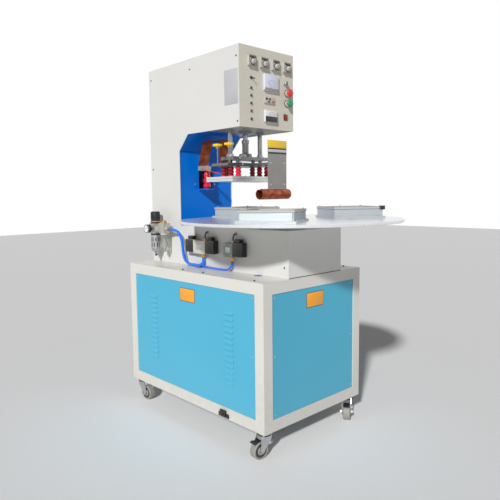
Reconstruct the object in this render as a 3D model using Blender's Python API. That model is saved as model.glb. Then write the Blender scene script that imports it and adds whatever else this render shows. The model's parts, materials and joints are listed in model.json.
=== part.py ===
"""Rotary blister packing machine with a high frequency press, as separate named solids.

Metres, +Z up, floor at z = 0. X runs to the machine's right, Y to its rear, and the
origin lies on the floor under the middle of the machine's overall length and width.
"""

import math

import bmesh
import bpy
from mathutils import Matrix, Vector

# Gap between pieces that touch on the real machine
SEAT = 0.0003

# Cabinet
CABINET_W = 0.65
CABINET_D = 0.98
CABINET_H = 0.62
FRAME_BOTTOM = 0.112
FRAME_TUBE = 0.05
TOP_SHEET = 0.004
PANEL_T = 0.002
PANEL_RECESS = 0.003
LOUVRE_REACH = 0.005
CABINET_TOP = FRAME_BOTTOM + CABINET_H

# Turntable
DISC_R = 0.4925
DISC_T = 0.012
DISC_BOTTOM = 0.958
DISC_FROM_FRONT = 0.152
DISC_CHAMFER = 0.0015
HUB_R = 0.13
REST_TURN = math.radians(-1.4)
STATIONS = 3

# The origin's place along the machine: half way between the disc's front and the rear
OVERHANG = DISC_R - DISC_FROM_FRONT
REAR_Y = (CABINET_D + OVERHANG) / 2
FRONT_Y = REAR_Y - CABINET_D
DISC_Y = FRONT_Y + DISC_FROM_FRONT

# Housing: C-shaped body with pedestal, column and head
HOUSING_W = 0.352
SHEET = 0.003
HEAD_BOTTOM = 1.379
HEAD_H = 0.353
HOUSING_TOP = HEAD_BOTTOM + HEAD_H
HEAD_FRONT = FRONT_Y + 0.282
THROAT_Y = FRONT_Y + 0.726
CHAMFER_Y = FRONT_Y + 0.654
CHAMFER_Z = 1.302
PEDESTAL_TOP = 0.93
LINER_INSET = 0.004
LINER_T = 0.002
FEED_OPENING = ((-0.0515, 1.111), (0.0415, 1.207))
FLOOR_T = 0.006
BORE_REACH = 0.06
COVER_LOUVRES_LOW = HEAD_BOTTOM + 0.071

# Console: heights above the head's bottom as shares of its height, and sizes
TIMER_X = (-0.105, -0.029, 0.047, 0.123)
TIMER_SIDE = 0.047
TIMER_DEPTH = 0.014
TIMER_Z = HEAD_BOTTOM + 0.8187 * HEAD_H
METER_DEPTH = 0.012
PLATE_METER = (0.017, 0.092, 0.074)
PLATE_METER_Z = HEAD_BOTTOM + 0.5907 * HEAD_H
GRID_METER = (0.014, 0.078, 0.056)
GRID_METER_Z = HEAD_BOTTOM + 0.1643 * HEAD_H
BUTTON_X = 0.132
BUTTON_PITCH = 0.048
STOP_Z = HEAD_BOTTOM + 0.4929 * HEAD_H

# Press, placed by its axis behind the cabinet's front
PRESS_Y = FRONT_Y + 0.4314
ROD_X = 0.099
ROD_R = 0.011
ROD_TOP_REACH = 0.14
UPPER_PLATE = (0.24, 0.09, 0.0155)
UPPER_PLATE_Z = 1.243
LOWER_PLATE = (0.23, 0.13, 0.0165)
LOWER_PLATE_Z = 1.2125
ELECTRODE = (0.344, 0.183, 0.023)
ELECTRODE_Z = 1.142
INSULATOR_X = 0.095
INSULATOR_Y = 0.05
INSULATOR_R = 0.0145
PISTON_R = 0.0115
PISTON_FLANGE_R = 0.031
SLEEVE_R = 0.0155

# Ground contact: plate and rolled copper strip in front of the press
CONTACT_Y = FRONT_Y + 0.222
CONTACT_W = 0.12
CONTACT_T = 0.004
CONTACT_Z = (1.105, 1.322)
ROLL_R = 0.0235
ROLL_T = 0.0022
ROLL_X = (-0.1165, 0.069)

# Copper straps of the high frequency feed: thickness, and where the run turns down (y, z)
STRAP_T = 0.0016
STRAP_BEND = (PRESS_Y + 0.094, 1.348)

# Tray fixtures on the disc
TRAY_R_IN = 0.171
TRAY_DEPTH = 0.222
TRAY_LENGTH = 0.217
TRAY_H = 0.049
TRAY_BASE_T = 0.009
TRAY_BASE_RIM = 0.011
TRAY_INNER_RIM = 0.004
TRAY_LID_T = 0.008
TRAY_LIP = 0.0025
TRAY_WALL = 0.022
TRAY_POCKET = 0.022
TRAY_FACE_W = 0.206
TRAY_FACE_T = 0.005

# Casters
WHEEL_R = 0.0375
WHEEL_W = 0.034
CASTER_TRAIL = 0.03
CASTER_INSET = 0.04
CASTER_HEADINGS = {"front_left": 175, "front_right": -145, "rear_left": -85, "rear_right": -60}

# Air hoses
AIR_HOSE_R = 0.0075
BRANCH_HOSE_R = 0.0055
VALVE_TUBE_R = 0.004
TUBE_ROUNDNESS = 2


def clear_scene():
    """Remove everything that the startup file put in the scene."""
    for obj in list(bpy.data.objects):
        bpy.data.objects.remove(obj, do_unlink=True)


def make_material(name, colour, roughness, metallic=0.0):
    """A Principled material with a plain colour."""
    material = bpy.data.materials.new(name)
    material.use_nodes = True
    shader = material.node_tree.nodes["Principled BSDF"]
    shader.inputs["Base Color"].default_value = (*colour, 1.0)
    shader.inputs["Roughness"].default_value = roughness
    shader.inputs["Metallic"].default_value = metallic
    material.diffuse_color = (*colour, 1.0)
    return material


def finish(name, bm, material=None, smooth_angle=None):
    """Turn a bmesh into a linked object with outward normals."""
    bmesh.ops.recalc_face_normals(bm, faces=bm.faces)
    mesh = bpy.data.meshes.new(name)
    bm.to_mesh(mesh)
    bm.free()
    if smooth_angle is not None:
        mesh.shade_smooth()
        mesh.set_sharp_from_angle(angle=math.radians(smooth_angle))
    obj = bpy.data.objects.new(name, mesh)
    bpy.context.scene.collection.objects.link(obj)
    if material:
        mesh.materials.append(material)
    return obj


def add_box(bm, low, high, turn=None):
    """Add a box between two corners, optionally moved by a matrix."""
    low, high = Vector(low), Vector(high)
    place = Matrix.Translation((low + high) / 2) @ Matrix.Diagonal((*(high - low), 1.0))
    if turn:
        place = turn @ place
    return bmesh.ops.create_cube(bm, size=1.0, matrix=place)["verts"]


def box_object(name, low, high, material):
    """A box as an object of its own."""
    bm = bmesh.new()
    add_box(bm, low, high)
    return finish(name, bm, material)


def add_prism(bm, outline, start, end, place):
    """Extrude a closed outline from start to end along the place matrix's Z axis."""
    corners = [bm.verts.new(place @ Vector((u, v, start))) for u, v in outline]
    face = bm.faces.new(corners)
    made = bmesh.ops.extrude_face_region(bm, geom=[face])["geom"]
    moved = [item for item in made if isinstance(item, bmesh.types.BMVert)]
    shift = place.to_3x3() @ Vector((0, 0, end - start))
    bmesh.ops.translate(bm, verts=moved, vec=shift)


def add_turned(bm, profile, steps, place=None):
    """Spin a profile of (radius, height) points about Z, then move it by a matrix."""
    chain = [bm.verts.new((radius, 0, height)) for radius, height in profile]
    edges = [bm.edges.new(pair) for pair in zip(chain, chain[1:])]
    if profile[0][0] > 0:
        edges.append(bm.edges.new((chain[-1], chain[0])))
    made = bmesh.ops.spin(
        bm, geom=chain + edges, axis=(0, 0, 1), cent=(0, 0, 0),
        angle=math.tau, steps=steps, use_merge=True,
    )
    verts = list({v for item in made["geom_last"] + chain for v in _reach(item)})
    bmesh.ops.remove_doubles(bm, verts=verts, dist=1e-6)
    if place:
        live = [v for v in verts if v.is_valid]
        bmesh.ops.transform(bm, matrix=place, verts=live)


def _reach(item):
    """Every vertex of the connected shape that holds this vertex."""
    if not isinstance(item, bmesh.types.BMVert):
        return []
    found, queue = {item}, [item]
    while queue:
        vert = queue.pop()
        for edge in vert.link_edges:
            other = edge.other_vert(vert)
            if other not in found:
                found.add(other)
                queue.append(other)
    return found


def turned_object(name, profile, steps, material, place=None, smooth=30):
    """A spun profile as an object of its own."""
    bm = bmesh.new()
    add_turned(bm, profile, steps, place)
    return finish(name, bm, material, smooth)


def combine(obj, tool_bm, operation, name, own_overlaps=False):
    """Boolean a hidden tool shape into an object; own_overlaps where the tool's shapes meet."""
    tool = finish(name, tool_bm)
    tool.hide_render = True
    tool.display_type = "WIRE"
    modifier = obj.modifiers.new(name, "BOOLEAN")
    modifier.operation = operation
    modifier.solver = "EXACT"
    modifier.object = tool
    modifier.use_self = own_overlaps
    return modifier


def bevel_edges(obj, width, segments=1, angle=40):
    """Round the sharp edges of an object."""
    modifier = obj.modifiers.new("edges", "BEVEL")
    modifier.width = width
    modifier.segments = segments
    modifier.limit_method = "ANGLE"
    modifier.angle_limit = math.radians(angle)
    return modifier


def disc_profile(radius, low, high, chamfer=0.0):
    """Profile of a solid disc, for a spin about its axis."""
    if not chamfer:
        return [(0, low), (radius, low), (radius, high), (0, high)]
    return [
        (0, low), (radius - chamfer, low), (radius, low + chamfer),
        (radius, high - chamfer), (radius - chamfer, high), (0, high),
    ]


def along(axis, centre):
    """A matrix that lays a shape's Z axis along a world axis, at a centre."""
    turns = {
        "X": Matrix.Rotation(math.radians(90), 4, "Y"),
        "Y": Matrix.Rotation(math.radians(-90), 4, "X"),
        "Z": Matrix.Identity(4),
    }
    return Matrix.Translation(centre) @ turns[axis]


SIDE_PLANE = Matrix(((0, 0, 1, 0), (1, 0, 0, 0), (0, 1, 0, 0), (0, 0, 0, 1)))


def make_cabinet(mats):
    """Welded tube frame, its table sheet and four inset panels."""
    half = CABINET_W / 2
    low = (-half, FRONT_Y, FRAME_BOTTOM)
    high = (half, REAR_Y, CABINET_TOP)
    frame = box_object("cabinet_frame", low, high, mats["frame_paint"])
    beyond = 0.01
    inner_low = Vector(low) + Vector((FRAME_TUBE,) * 3)
    inner_high = Vector(high) - Vector((FRAME_TUBE,) * 3)
    for axis, label in enumerate("xyz"):
        cut_low, cut_high = inner_low.copy(), inner_high.copy()
        cut_low[axis] = low[axis] - beyond
        cut_high[axis] = high[axis] + beyond
        bm = bmesh.new()
        add_box(bm, cut_low, cut_high)
        combine(frame, bm, "DIFFERENCE", "frame_window_" + label)
    bm = bmesh.new()
    pad, pad_t = 0.033, 0.003
    for side in (-1, 1):
        for y in (FRONT_Y + CASTER_INSET, REAR_Y - CASTER_INSET):
            x = side * (half - CASTER_INSET)
            pad_low = (x - pad, y - pad, FRAME_BOTTOM - pad_t)
            add_box(bm, pad_low, (x + pad, y + pad, FRAME_BOTTOM + 0.002))
    rim = 0.01
    table_low = (inner_low.x - rim, inner_low.y - rim, CABINET_TOP - TOP_SHEET)
    add_box(bm, table_low, (inner_high.x + rim, inner_high.y + rim, CABINET_TOP - 0.0005))
    combine(frame, bm, "UNION", "caster_pads_and_table")
    clear = 0.0005
    window_z = (inner_low.z + clear, inner_high.z - clear)
    window_y = (inner_low.y + clear, inner_high.y - clear)
    window_x = (inner_low.x + clear, inner_high.x - clear)
    outer = half - PANEL_RECESS
    for side, name in ((-1, "left_panel"), (1, "right_panel")):
        faces = sorted((side * outer, side * (outer - PANEL_T)))
        panel = box_object(
            name, (faces[0], window_y[0], window_z[0]), (faces[1], window_y[1], window_z[1]),
            mats["panel_blue"],
        )
        columns = (FRONT_Y + 0.21, FRONT_Y + 0.77)
        start = Vector((side * outer, 0, 0))
        add_louvres(panel, start, Vector((side, 0, 0)), Vector((0, 1, 0)), columns)
    y = FRONT_Y + PANEL_RECESS
    box_object(
        "front_panel", (window_x[0], y, window_z[0]), (window_x[1], y + PANEL_T, window_z[1]),
        mats["panel_blue"],
    )
    y = REAR_Y - LOUVRE_REACH
    rear = box_object(
        "rear_panel", (window_x[0], y - PANEL_T, window_z[0]), (window_x[1], y, window_z[1]),
        mats["panel_blue"],
    )
    add_louvres(rear, Vector((0, y, 0)), Vector((0, 1, 0)), Vector((1, 0, 0)), (0.0,))
    return frame


def add_louvres(panel, origin, outward, along_dir, columns, low=0.27, pitch=0.0255, count=13):
    """Press rows of louvres into a panel: hoods that open downwards over slots."""
    width, height, reach, wall = 0.055, 0.013, LOUVRE_REACH, 0.0012
    up = Vector((0, 0, 1))
    frame = Matrix((outward, up, along_dir)).transposed().to_4x4()
    hood = [(-PANEL_T / 2, 0), (reach, 0), (reach, wall), (0.0, height), (-PANEL_T / 2, height)]
    hollow = [
        (-2 * PANEL_T, -wall), (reach - wall, -wall), (reach - wall, wall), (-wall, height - 2 * wall),
        (-2 * PANEL_T, height - 2 * wall),
    ]
    hoods, hollows = bmesh.new(), bmesh.new()
    for column in columns:
        for row in range(count):
            base = origin + along_dir * column + up * (low + row * pitch)
            place = Matrix.Translation(base) @ frame
            add_prism(hoods, hood, -width / 2, width / 2, place)
            add_prism(hollows, hollow, -width / 2 + wall, width / 2 - wall, place)
    combine(panel, hoods, "UNION", panel.name + "_hoods")
    combine(panel, hollows, "DIFFERENCE", panel.name + "_slots")


def side_outline(front, rear, bottom, top):
    """The housing's C-shaped side, as (y, z) points."""
    return [
        (front, bottom), (rear, bottom), (rear, top), (HEAD_FRONT + SHEET + SEAT, top),
        (HEAD_FRONT + SHEET + SEAT, HEAD_BOTTOM), (CHAMFER_Y, HEAD_BOTTOM), (THROAT_Y, CHAMFER_Z),
        (THROAT_Y, PEDESTAL_TOP), (front, PEDESTAL_TOP),
    ]


def make_housing(mats):
    """Sheet housing: sides, cover, throat liner, head floor, front panels and pedestal top."""
    half = HOUSING_W / 2
    base = CABINET_TOP + SEAT
    inner = half - SHEET
    for side, name in ((-1, "housing_left"), (1, "housing_right")):
        bm = bmesh.new()
        faces = sorted((side * half, side * inner))
        outline = side_outline(FRONT_Y + SHEET + SEAT, REAR_Y - SEAT, base, HOUSING_TOP)
        add_prism(bm, outline, faces[0], faces[1], SIDE_PLANE)
        finish(name, bm, mats["housing_paint"])
    reach = inner - SEAT
    bm = bmesh.new()
    front, rear = HEAD_FRONT + SHEET + SEAT, REAR_Y - LOUVRE_REACH
    cover = [
        (front, HOUSING_TOP), (rear, HOUSING_TOP), (rear, base), (rear - SHEET, base),
        (rear - SHEET, HOUSING_TOP - SHEET), (front, HOUSING_TOP - SHEET),
    ]
    add_prism(bm, cover, -reach, reach, SIDE_PLANE)
    cover_obj = finish("housing_cover", bm, mats["housing_paint"])
    add_louvres(
        cover_obj, Vector((0, rear, 0)), Vector((0, 1, 0)), Vector((1, 0, 0)), (-0.07, 0.07),
        low=COVER_LOUVRES_LOW, count=8,
    )
    make_pedestal_cover(mats, half, reach, base)
    make_control_panel(mats, half)
    return make_throat(mats, reach)


def make_pedestal_cover(mats, half, reach, base):
    """Pedestal front sheet, bent back over the top, with the indexing drive's output flange."""
    plate_low = PEDESTAL_TOP - 0.008
    rear = THROAT_Y + LINER_INSET - SEAT
    cover = box_object(
        "pedestal_cover", (-half, FRONT_Y, base), (half, FRONT_Y + SHEET, PEDESTAL_TOP), mats["housing_paint"]
    )
    bm = bmesh.new()
    add_box(bm, (-reach, FRONT_Y + SHEET / 2, plate_low), (reach, rear, PEDESTAL_TOP - 0.0005))
    combine(cover, bm, "UNION", "pedestal_top")
    bm = bmesh.new()
    place = Matrix.Translation((0, DISC_Y, 0))
    add_turned(bm, disc_profile(HUB_R, PEDESTAL_TOP - 0.002, DISC_BOTTOM - SEAT), 40, place)
    combine(cover, bm, "UNION", "index_flange")


def make_throat(mats, reach):
    """Blue throat liner bent round the chamfer, and the head's floor with its bushings."""
    y, top = THROAT_Y + LINER_INSET, HEAD_BOTTOM + LINER_INSET
    slope = LINER_INSET * 0.6
    lip = FRONT_Y + 0.52
    t = LINER_T
    outline = [
        (y, PEDESTAL_TOP - 0.006), (y, CHAMFER_Z + slope), (CHAMFER_Y + slope, top), (lip, top),
        (lip, top + t), (CHAMFER_Y + slope + t / 2, top + t), (y + t, CHAMFER_Z + slope + t / 2),
        (y + t, PEDESTAL_TOP - 0.006),
    ]
    bm = bmesh.new()
    add_prism(bm, outline, -reach, reach, SIDE_PLANE)
    liner = finish("throat_liner", bm, mats["liner_blue"])
    bm = bmesh.new()
    (left, low), (right, high) = FEED_OPENING
    add_box(bm, (left, y - 0.01, low), (right, y + 0.01, high))
    combine(liner, bm, "DIFFERENCE", "feed_opening")
    floor_low = HEAD_BOTTOM + 0.002
    floor = box_object(
        "head_floor", (-reach, HEAD_FRONT + SHEET + SEAT, floor_low),
        (reach, lip - SEAT, floor_low + FLOOR_T), mats["floor_grey"],
    )
    bosses, bores = bmesh.new(), bmesh.new()
    for x in (-ROD_X, ROD_X):
        place = Matrix.Translation((x, PRESS_Y, 0))
        boss = disc_profile(ROD_R + 0.009, floor_low - 0.008, floor_low + FLOOR_T + 0.02)
        add_turned(bosses, boss, 20, place)
        bore = disc_profile(ROD_R + 0.0004, floor_low - BORE_REACH, floor_low + BORE_REACH)
        add_turned(bores, bore, 20, place)
    place = Matrix.Translation((0, PRESS_Y, 0))
    boss = disc_profile(PISTON_FLANGE_R, floor_low - 0.01, floor_low + FLOOR_T + 0.03)
    add_turned(bosses, boss, 24, place)
    bore = disc_profile(PISTON_R + 0.0004, floor_low - BORE_REACH, floor_low + BORE_REACH)
    add_turned(bores, bore, 20, place)
    combine(floor, bosses, "UNION", "bushing_bosses")
    combine(floor, bores, "DIFFERENCE", "bushing_bores")
    return liner


def make_control_panel(mats, half):
    """Front panel of the head with timers and meters."""
    panel = box_object(
        "control_panel", (-half, HEAD_FRONT, HEAD_BOTTOM), (half, HEAD_FRONT + SHEET, HOUSING_TOP),
        mats["panel_paint"],
    )
    face = HEAD_FRONT - SEAT
    reach = TIMER_SIDE / 2
    for index, x in enumerate(TIMER_X):
        timer = box_object(
            "timer_%d" % (index + 1), (x - reach, face - TIMER_DEPTH, TIMER_Z - reach),
            (x + reach, face, TIMER_Z + reach), mats["timer_grey"],
        )
        bevel_edges(timer, 0.0015)
    meters = (("plate_meter", PLATE_METER, PLATE_METER_Z), ("grid_meter", GRID_METER, GRID_METER_Z))
    for name, (x, w, h), z in meters:
        meter = box_object(
            name, (x - w / 2, face - METER_DEPTH, z - h / 2), (x + w / 2, face, z + h / 2),
            mats["meter_white"],
        )
        bevel_edges(meter, 0.002)
    buttons = (("stop_button", STOP_Z, "button_red"), ("start_button", STOP_Z - BUTTON_PITCH, "button_green"))
    for name, z, mat in buttons:
        place = Matrix.Translation((BUTTON_X, face, z)) @ Matrix.Rotation(math.radians(90), 4, "X")
        profile = [
            (0, -0.002), (0.008, -0.002), (0.008, 0.016), (0.0185, 0.018), (0.0195, 0.021), (0.017, 0.0255),
            (0.010, 0.028), (0, 0.029),
        ]
        turned_object(name, profile, 20, mats[mat], place)
        collar = bmesh.new()
        add_turned(collar, disc_profile(0.015, -0.001, 0.008), 20, place)
        combine(panel, collar, "UNION", name + "_collar")
        bore = bmesh.new()
        add_turned(bore, disc_profile(0.0085, -0.02, 0.02), 20, place)
        combine(panel, bore, "DIFFERENCE", name + "_bore")


def make_turntable(mats):
    """The indexing disc and its tray fixtures."""
    top = DISC_BOTTOM + DISC_T
    disc = turned_object(
        "turntable_disc", disc_profile(DISC_R, DISC_BOTTOM, top, DISC_CHAMFER), 72, mats["disc_alu"],
        Matrix.Translation((0, DISC_Y, 0)),
    )
    for index in range(STATIONS):
        angle = math.radians(90) + REST_TURN + index * math.tau / STATIONS
        make_tray("tray_fixture_%d" % (index + 1), angle, top + SEAT, mats)
    return disc


def make_tray(name, angle, base, mats):
    """A tray fixture: base plate, walled body with a pocket, and a face plate on its outer side."""
    place = Matrix.Translation((0, DISC_Y, 0)) @ Matrix.Rotation(angle, 4, "Z")
    inner, outer = TRAY_R_IN, TRAY_R_IN + TRAY_DEPTH
    half = TRAY_LENGTH / 2
    rim = TRAY_BASE_RIM
    bm = bmesh.new()
    low = (inner - TRAY_INNER_RIM, -half - rim, base)
    add_box(bm, low, (outer + rim, half + rim, base + TRAY_BASE_T), place)
    tray = finish(name, bm, mats["tray_alu"])
    top = base + TRAY_H
    body = bmesh.new()
    add_box(body, (inner, -half, base + TRAY_BASE_T / 2), (outer, half, top - 0.002), place)
    combine(tray, body, "UNION", name + "_body")
    lid = bmesh.new()
    lip = TRAY_LIP
    add_box(lid, (inner - lip, -half - lip, top - TRAY_LID_T), (outer + lip, half + lip, top), place)
    combine(tray, lid, "UNION", name + "_lid")
    pocket = bmesh.new()
    wall = TRAY_WALL
    low = (inner + wall, -half + wall, top - TRAY_POCKET)
    add_box(pocket, low, (outer - wall, half - wall, top + 0.01), place)
    combine(tray, pocket, "DIFFERENCE", name + "_pocket")
    plate = bmesh.new()
    wide = TRAY_FACE_W / 2
    low = (outer - 0.002, -wide, base + TRAY_BASE_T - 0.001)
    add_box(plate, low, (outer + TRAY_FACE_T, wide, top - TRAY_LID_T - 0.002), place)
    combine(tray, plate, "UNION", name + "_face")


def make_press(mats):
    """Platen with guide rods, insulators, electrode, ground contact and adjusting knobs."""
    w, d, h = UPPER_PLATE
    upper = box_object(
        "press_platen", (-w / 2, PRESS_Y - d / 2, UPPER_PLATE_Z), (w / 2, PRESS_Y + d / 2, UPPER_PLATE_Z + h),
        mats["press_steel"],
    )
    rods = bmesh.new()
    top = UPPER_PLATE_Z + h
    rod_top = HEAD_BOTTOM + ROD_TOP_REACH
    for x in (-ROD_X, ROD_X):
        place = Matrix.Translation((x, PRESS_Y, 0))
        add_turned(rods, disc_profile(ROD_R, top - 0.003, rod_top, 0.001), 20, place)
    piston = [
        (0, top - 0.003), (PISTON_FLANGE_R, top - 0.003), (PISTON_FLANGE_R, top + 0.014),
        (SLEEVE_R, top + 0.02), (SLEEVE_R, top + 0.066), (0.0175, top + 0.066), (0.0175, top + 0.082),
        (PISTON_R, top + 0.082), (PISTON_R, rod_top), (0, rod_top),
    ]
    add_turned(rods, piston, 24, Matrix.Translation((0, PRESS_Y, 0)))
    combine(upper, rods, "UNION", "guide_rods")
    w, d, h = LOWER_PLATE
    lower_top = LOWER_PLATE_Z + h
    lower = bmesh.new()
    add_box(lower, (-w / 2, PRESS_Y - d / 2, LOWER_PLATE_Z), (w / 2, PRESS_Y + d / 2, lower_top))
    combine(upper, lower, "UNION", "lower_plate")
    extras = bmesh.new()
    for x in (-0.075, 0.075):
        for y in (-0.025, 0.025):
            place = Matrix.Translation((x, PRESS_Y + y, 0))
            add_turned(extras, disc_profile(0.009, lower_top - 0.002, UPPER_PLATE_Z + 0.002), 12, place)
    low = LOWER_PLATE_Z + 0.002
    front = CONTACT_Y + CONTACT_T + SEAT
    add_box(extras, (-0.04, front, low), (0.04, PRESS_Y - d / 2 + 0.01, lower_top - 0.004))
    arm_x = (-w / 2 - 0.052, -w / 2 + 0.01)
    add_box(extras, (arm_x[0], PRESS_Y - 0.058, low), (arm_x[1], PRESS_Y + 0.056, lower_top - 0.002))
    combine(upper, extras, "UNION", "spacers_and_arms")
    stems = bmesh.new()
    knob_z = 1.2985
    for index, y in enumerate((-0.0425, 0.0375)):
        spot = (-0.145, PRESS_Y + y, 0)
        stem = disc_profile(0.0035, lower_top - 0.004, knob_z - SEAT)
        add_turned(stems, stem, 12, Matrix.Translation(spot))
        knob = [
            (0, 0), (0.007, 0), (0.008, 0.005), (0.0195, 0.009), (0.021, 0.014), (0.0195, 0.019),
            (0.006, 0.0205), (0, 0.0205),
        ]
        place = Matrix.Translation((spot[0], spot[1], knob_z))
        turned_object("clamp_knob_%d" % (index + 1), knob, 20, mats["knob_yellow"], place)
    combine(upper, stems, "UNION", "knob_stems")
    w, d, h = ELECTRODE
    electrode_top = ELECTRODE_Z + h
    electrode = box_object(
        "electrode_plate", (-w / 2, PRESS_Y - d / 2, ELECTRODE_Z), (w / 2, PRESS_Y + d / 2, electrode_top),
        mats["electrode_alu"],
    )
    bevel_edges(electrode, 0.0008)
    number = 0
    for x in (-INSULATOR_X, INSULATOR_X):
        for y in (-INSULATOR_Y, 0.0, INSULATOR_Y):
            number += 1
            ends = (electrode_top + SEAT, LOWER_PLATE_Z - SEAT)
            make_insulator("insulator_%d" % number, (x, PRESS_Y + y), *ends, mats)
    make_contact(mats)


def make_insulator(name, spot, low, high, mats):
    """A ribbed post insulator between two heights."""
    ribs = 3
    pitch = (high - low) / ribs
    waist = INSULATOR_R * 0.7
    profile = [(0, low), (waist, low)]
    for rib in range(ribs):
        foot = low + rib * pitch
        profile += [
            (INSULATOR_R, foot + pitch * 0.3), (INSULATOR_R, foot + pitch * 0.6), (waist, foot + pitch * 0.9),
        ]
    profile += [(waist, high), (0, high)]
    place = Matrix.Translation((*spot, 0))
    return turned_object(name, profile, 12, mats["insulator_red"], place, smooth=50)


def make_contact(mats):
    """Ground contact plate and its springy roll of copper strip."""
    low, high = CONTACT_Z
    box_object(
        "contact_plate", (-CONTACT_W / 2, CONTACT_Y, low), (CONTACT_W / 2, CONTACT_Y + CONTACT_T, high),
        mats["plate_grey"],
    )
    steps = 26
    centre_y, centre_z = CONTACT_Y + CONTACT_T / 2, low - SEAT - ROLL_R
    turn = math.radians(330)
    start = math.radians(90)
    angles = [start + turn * i / steps for i in range(steps + 1)]
    outer = [(centre_y + ROLL_R * math.cos(a), centre_z + ROLL_R * math.sin(a)) for a in angles]
    thin = ROLL_R - ROLL_T
    inner = [(centre_y + thin * math.cos(a), centre_z + thin * math.sin(a)) for a in reversed(angles)]
    bm = bmesh.new()
    add_prism(bm, outer + inner, ROLL_X[0], ROLL_X[1], SIDE_PLANE)
    finish("contact_roll", bm, mats["copper"], 30)


def make_feed(mats, liner):
    """High frequency feed: shelf through the throat, post insulator, clamp bar and copper straps."""
    x, y = -0.036, THROAT_Y - 0.044
    liner_y = THROAT_Y + LINER_INSET
    shelf_top = FEED_OPENING[0][1] + 0.003
    shelf = bmesh.new()
    shelf_low = (x - 0.024, y - 0.024, shelf_top - 0.005)
    add_box(shelf, shelf_low, (x + 0.024, liner_y + LINER_T - 0.0005, shelf_top))
    combine(liner, shelf, "UNION", "feed_shelf")
    top = 1.205
    low = shelf_top + SEAT
    profile = [
        (0, low), (0.014, low), (0.021, low + 0.012), (0.021, low + 0.02), (0.015, low + 0.028),
        (0.021, low + 0.038), (0.021, low + 0.046), (0.015, low + 0.054), (0.018, low + 0.062),
        (0.018, low + 0.072), (0.012, top), (0, top),
    ]
    place = Matrix.Translation((x, y, 0))
    turned_object("feed_insulator", profile, 20, mats["insulator_red"], place, smooth=50)
    bar = (x - 0.052, x + 0.018)
    box_object(
        "feed_clamp", (bar[0], y - 0.012, top + SEAT), (bar[1], y + 0.006, top + 0.022), mats["cast_silver"]
    )
    strap_x = (bar[0] + 0.005, bar[1] - 0.003)
    t = STRAP_T
    foot_y = y + 0.006 + SEAT + t / 2
    bend_y, bend_z = STRAP_BEND
    run = [
        (foot_y, top + 0.002), (foot_y, top + 0.03), (foot_y - 0.026, bend_z - 0.03),
        (foot_y - 0.036, bend_z - 0.008), (foot_y - 0.048, bend_z), (bend_y, bend_z),
    ]
    make_strip("copper_strap", run, t, strap_x, mats["copper"])
    foot_z = ELECTRODE_Z + ELECTRODE[2] + SEAT
    drop_y = PRESS_Y + ELECTRODE[1] / 2 - 0.012
    hang = bend_z - t / 2 - SEAT
    drop = [
        (bend_y + 0.006, hang), (bend_y + 0.0055, hang - 0.02), (drop_y + 0.014, hang - 0.075),
        (drop_y + 0.008, foot_z + 0.05), (drop_y + 0.002, foot_z + 0.02), (drop_y, foot_z),
    ]
    make_strip("copper_drop", drop, t, strap_x, mats["copper"])


def make_strip(name, line, thickness, span, material):
    """A flat strip that follows a line of (y, z) points, with its width along X."""
    left, right = [], []
    for i, (y, z) in enumerate(line):
        before = Vector(line[max(i - 1, 0)])
        after = Vector(line[min(i + 1, len(line) - 1)])
        run = (after - before).normalized()
        side = Vector((-run.y, run.x)) * thickness / 2
        left.append((y + side.x, z + side.y))
        right.append((y - side.x, z - side.y))
    bm = bmesh.new()
    add_prism(bm, left + right[::-1], span[0], span[1], SIDE_PLANE)
    return finish(name, bm, material, 40)


def make_air_unit(mats):
    """Filter regulator and lubricator on the column's left side."""
    side = -HOUSING_W / 2 - SEAT
    x = -0.225
    reg_y, lub_y = FRONT_Y + 0.882, FRONT_Y + 0.804
    body_low, body_high = 0.888, 0.938
    bm = bmesh.new()
    add_box(bm, (x - 0.024, reg_y - 0.026, body_low), (x + 0.024, reg_y + 0.026, body_high))
    body = finish("air_filter_regulator", bm, mats["cast_silver"])
    joins = bmesh.new()
    add_box(joins, (x - 0.02, lub_y - 0.022, body_low + 0.004), (x + 0.02, lub_y + 0.022, body_high + 0.004))
    add_box(joins, (x - 0.012, lub_y + 0.02, body_low + 0.01), (x + 0.012, reg_y - 0.02, body_high - 0.012))
    add_box(joins, (x + 0.01, reg_y - 0.018, body_low + 0.012), (side, reg_y + 0.018, body_high - 0.014))
    port = along("Y", (x, lub_y - 0.036, 0.913))
    add_turned(joins, disc_profile(0.0095, 0, 0.016), 16, port)
    combine(body, joins, "UNION", "air_unit_joins", own_overlaps=True)
    knob = [(0, 0), (0.026, 0), (0.026, 0.014), (0.0235, 0.018), (0.0235, 0.058), (0.021, 0.062), (0, 0.062)]
    turned_object(
        "regulator_knob", knob, 24, mats["black_plastic"], Matrix.Translation((x, reg_y, body_high + SEAT))
    )
    bowl = [(0, 0.0), (0.008, 0.002), (0.012, 0.012), (0.022, 0.02), (0.025, 0.032), (0.025, 0.11), (0, 0.11)]
    turned_object(
        "filter_bowl", bowl, 24, mats["bowl_clear"], Matrix.Translation((x, reg_y, body_low - SEAT - 0.11))
    )
    small = [(r * 0.82, z * 0.9) for r, z in bowl]
    place = Matrix.Translation((x, lub_y, body_low + 0.004 - SEAT - 0.099))
    turned_object("lubricator_bowl", small, 20, mats["bowl_clear"], place)
    gauge = along("X", (x - 0.024 - SEAT - 0.034, reg_y, 0.913))
    face = [
        (0, 0), (0.0195, 0), (0.0215, 0.003), (0.0215, 0.02), (0.0055, 0.022), (0.0055, 0.034),
        (0, 0.034),
    ]
    turned_object("pressure_gauge", face, 24, mats["black_plastic"], gauge)


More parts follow.
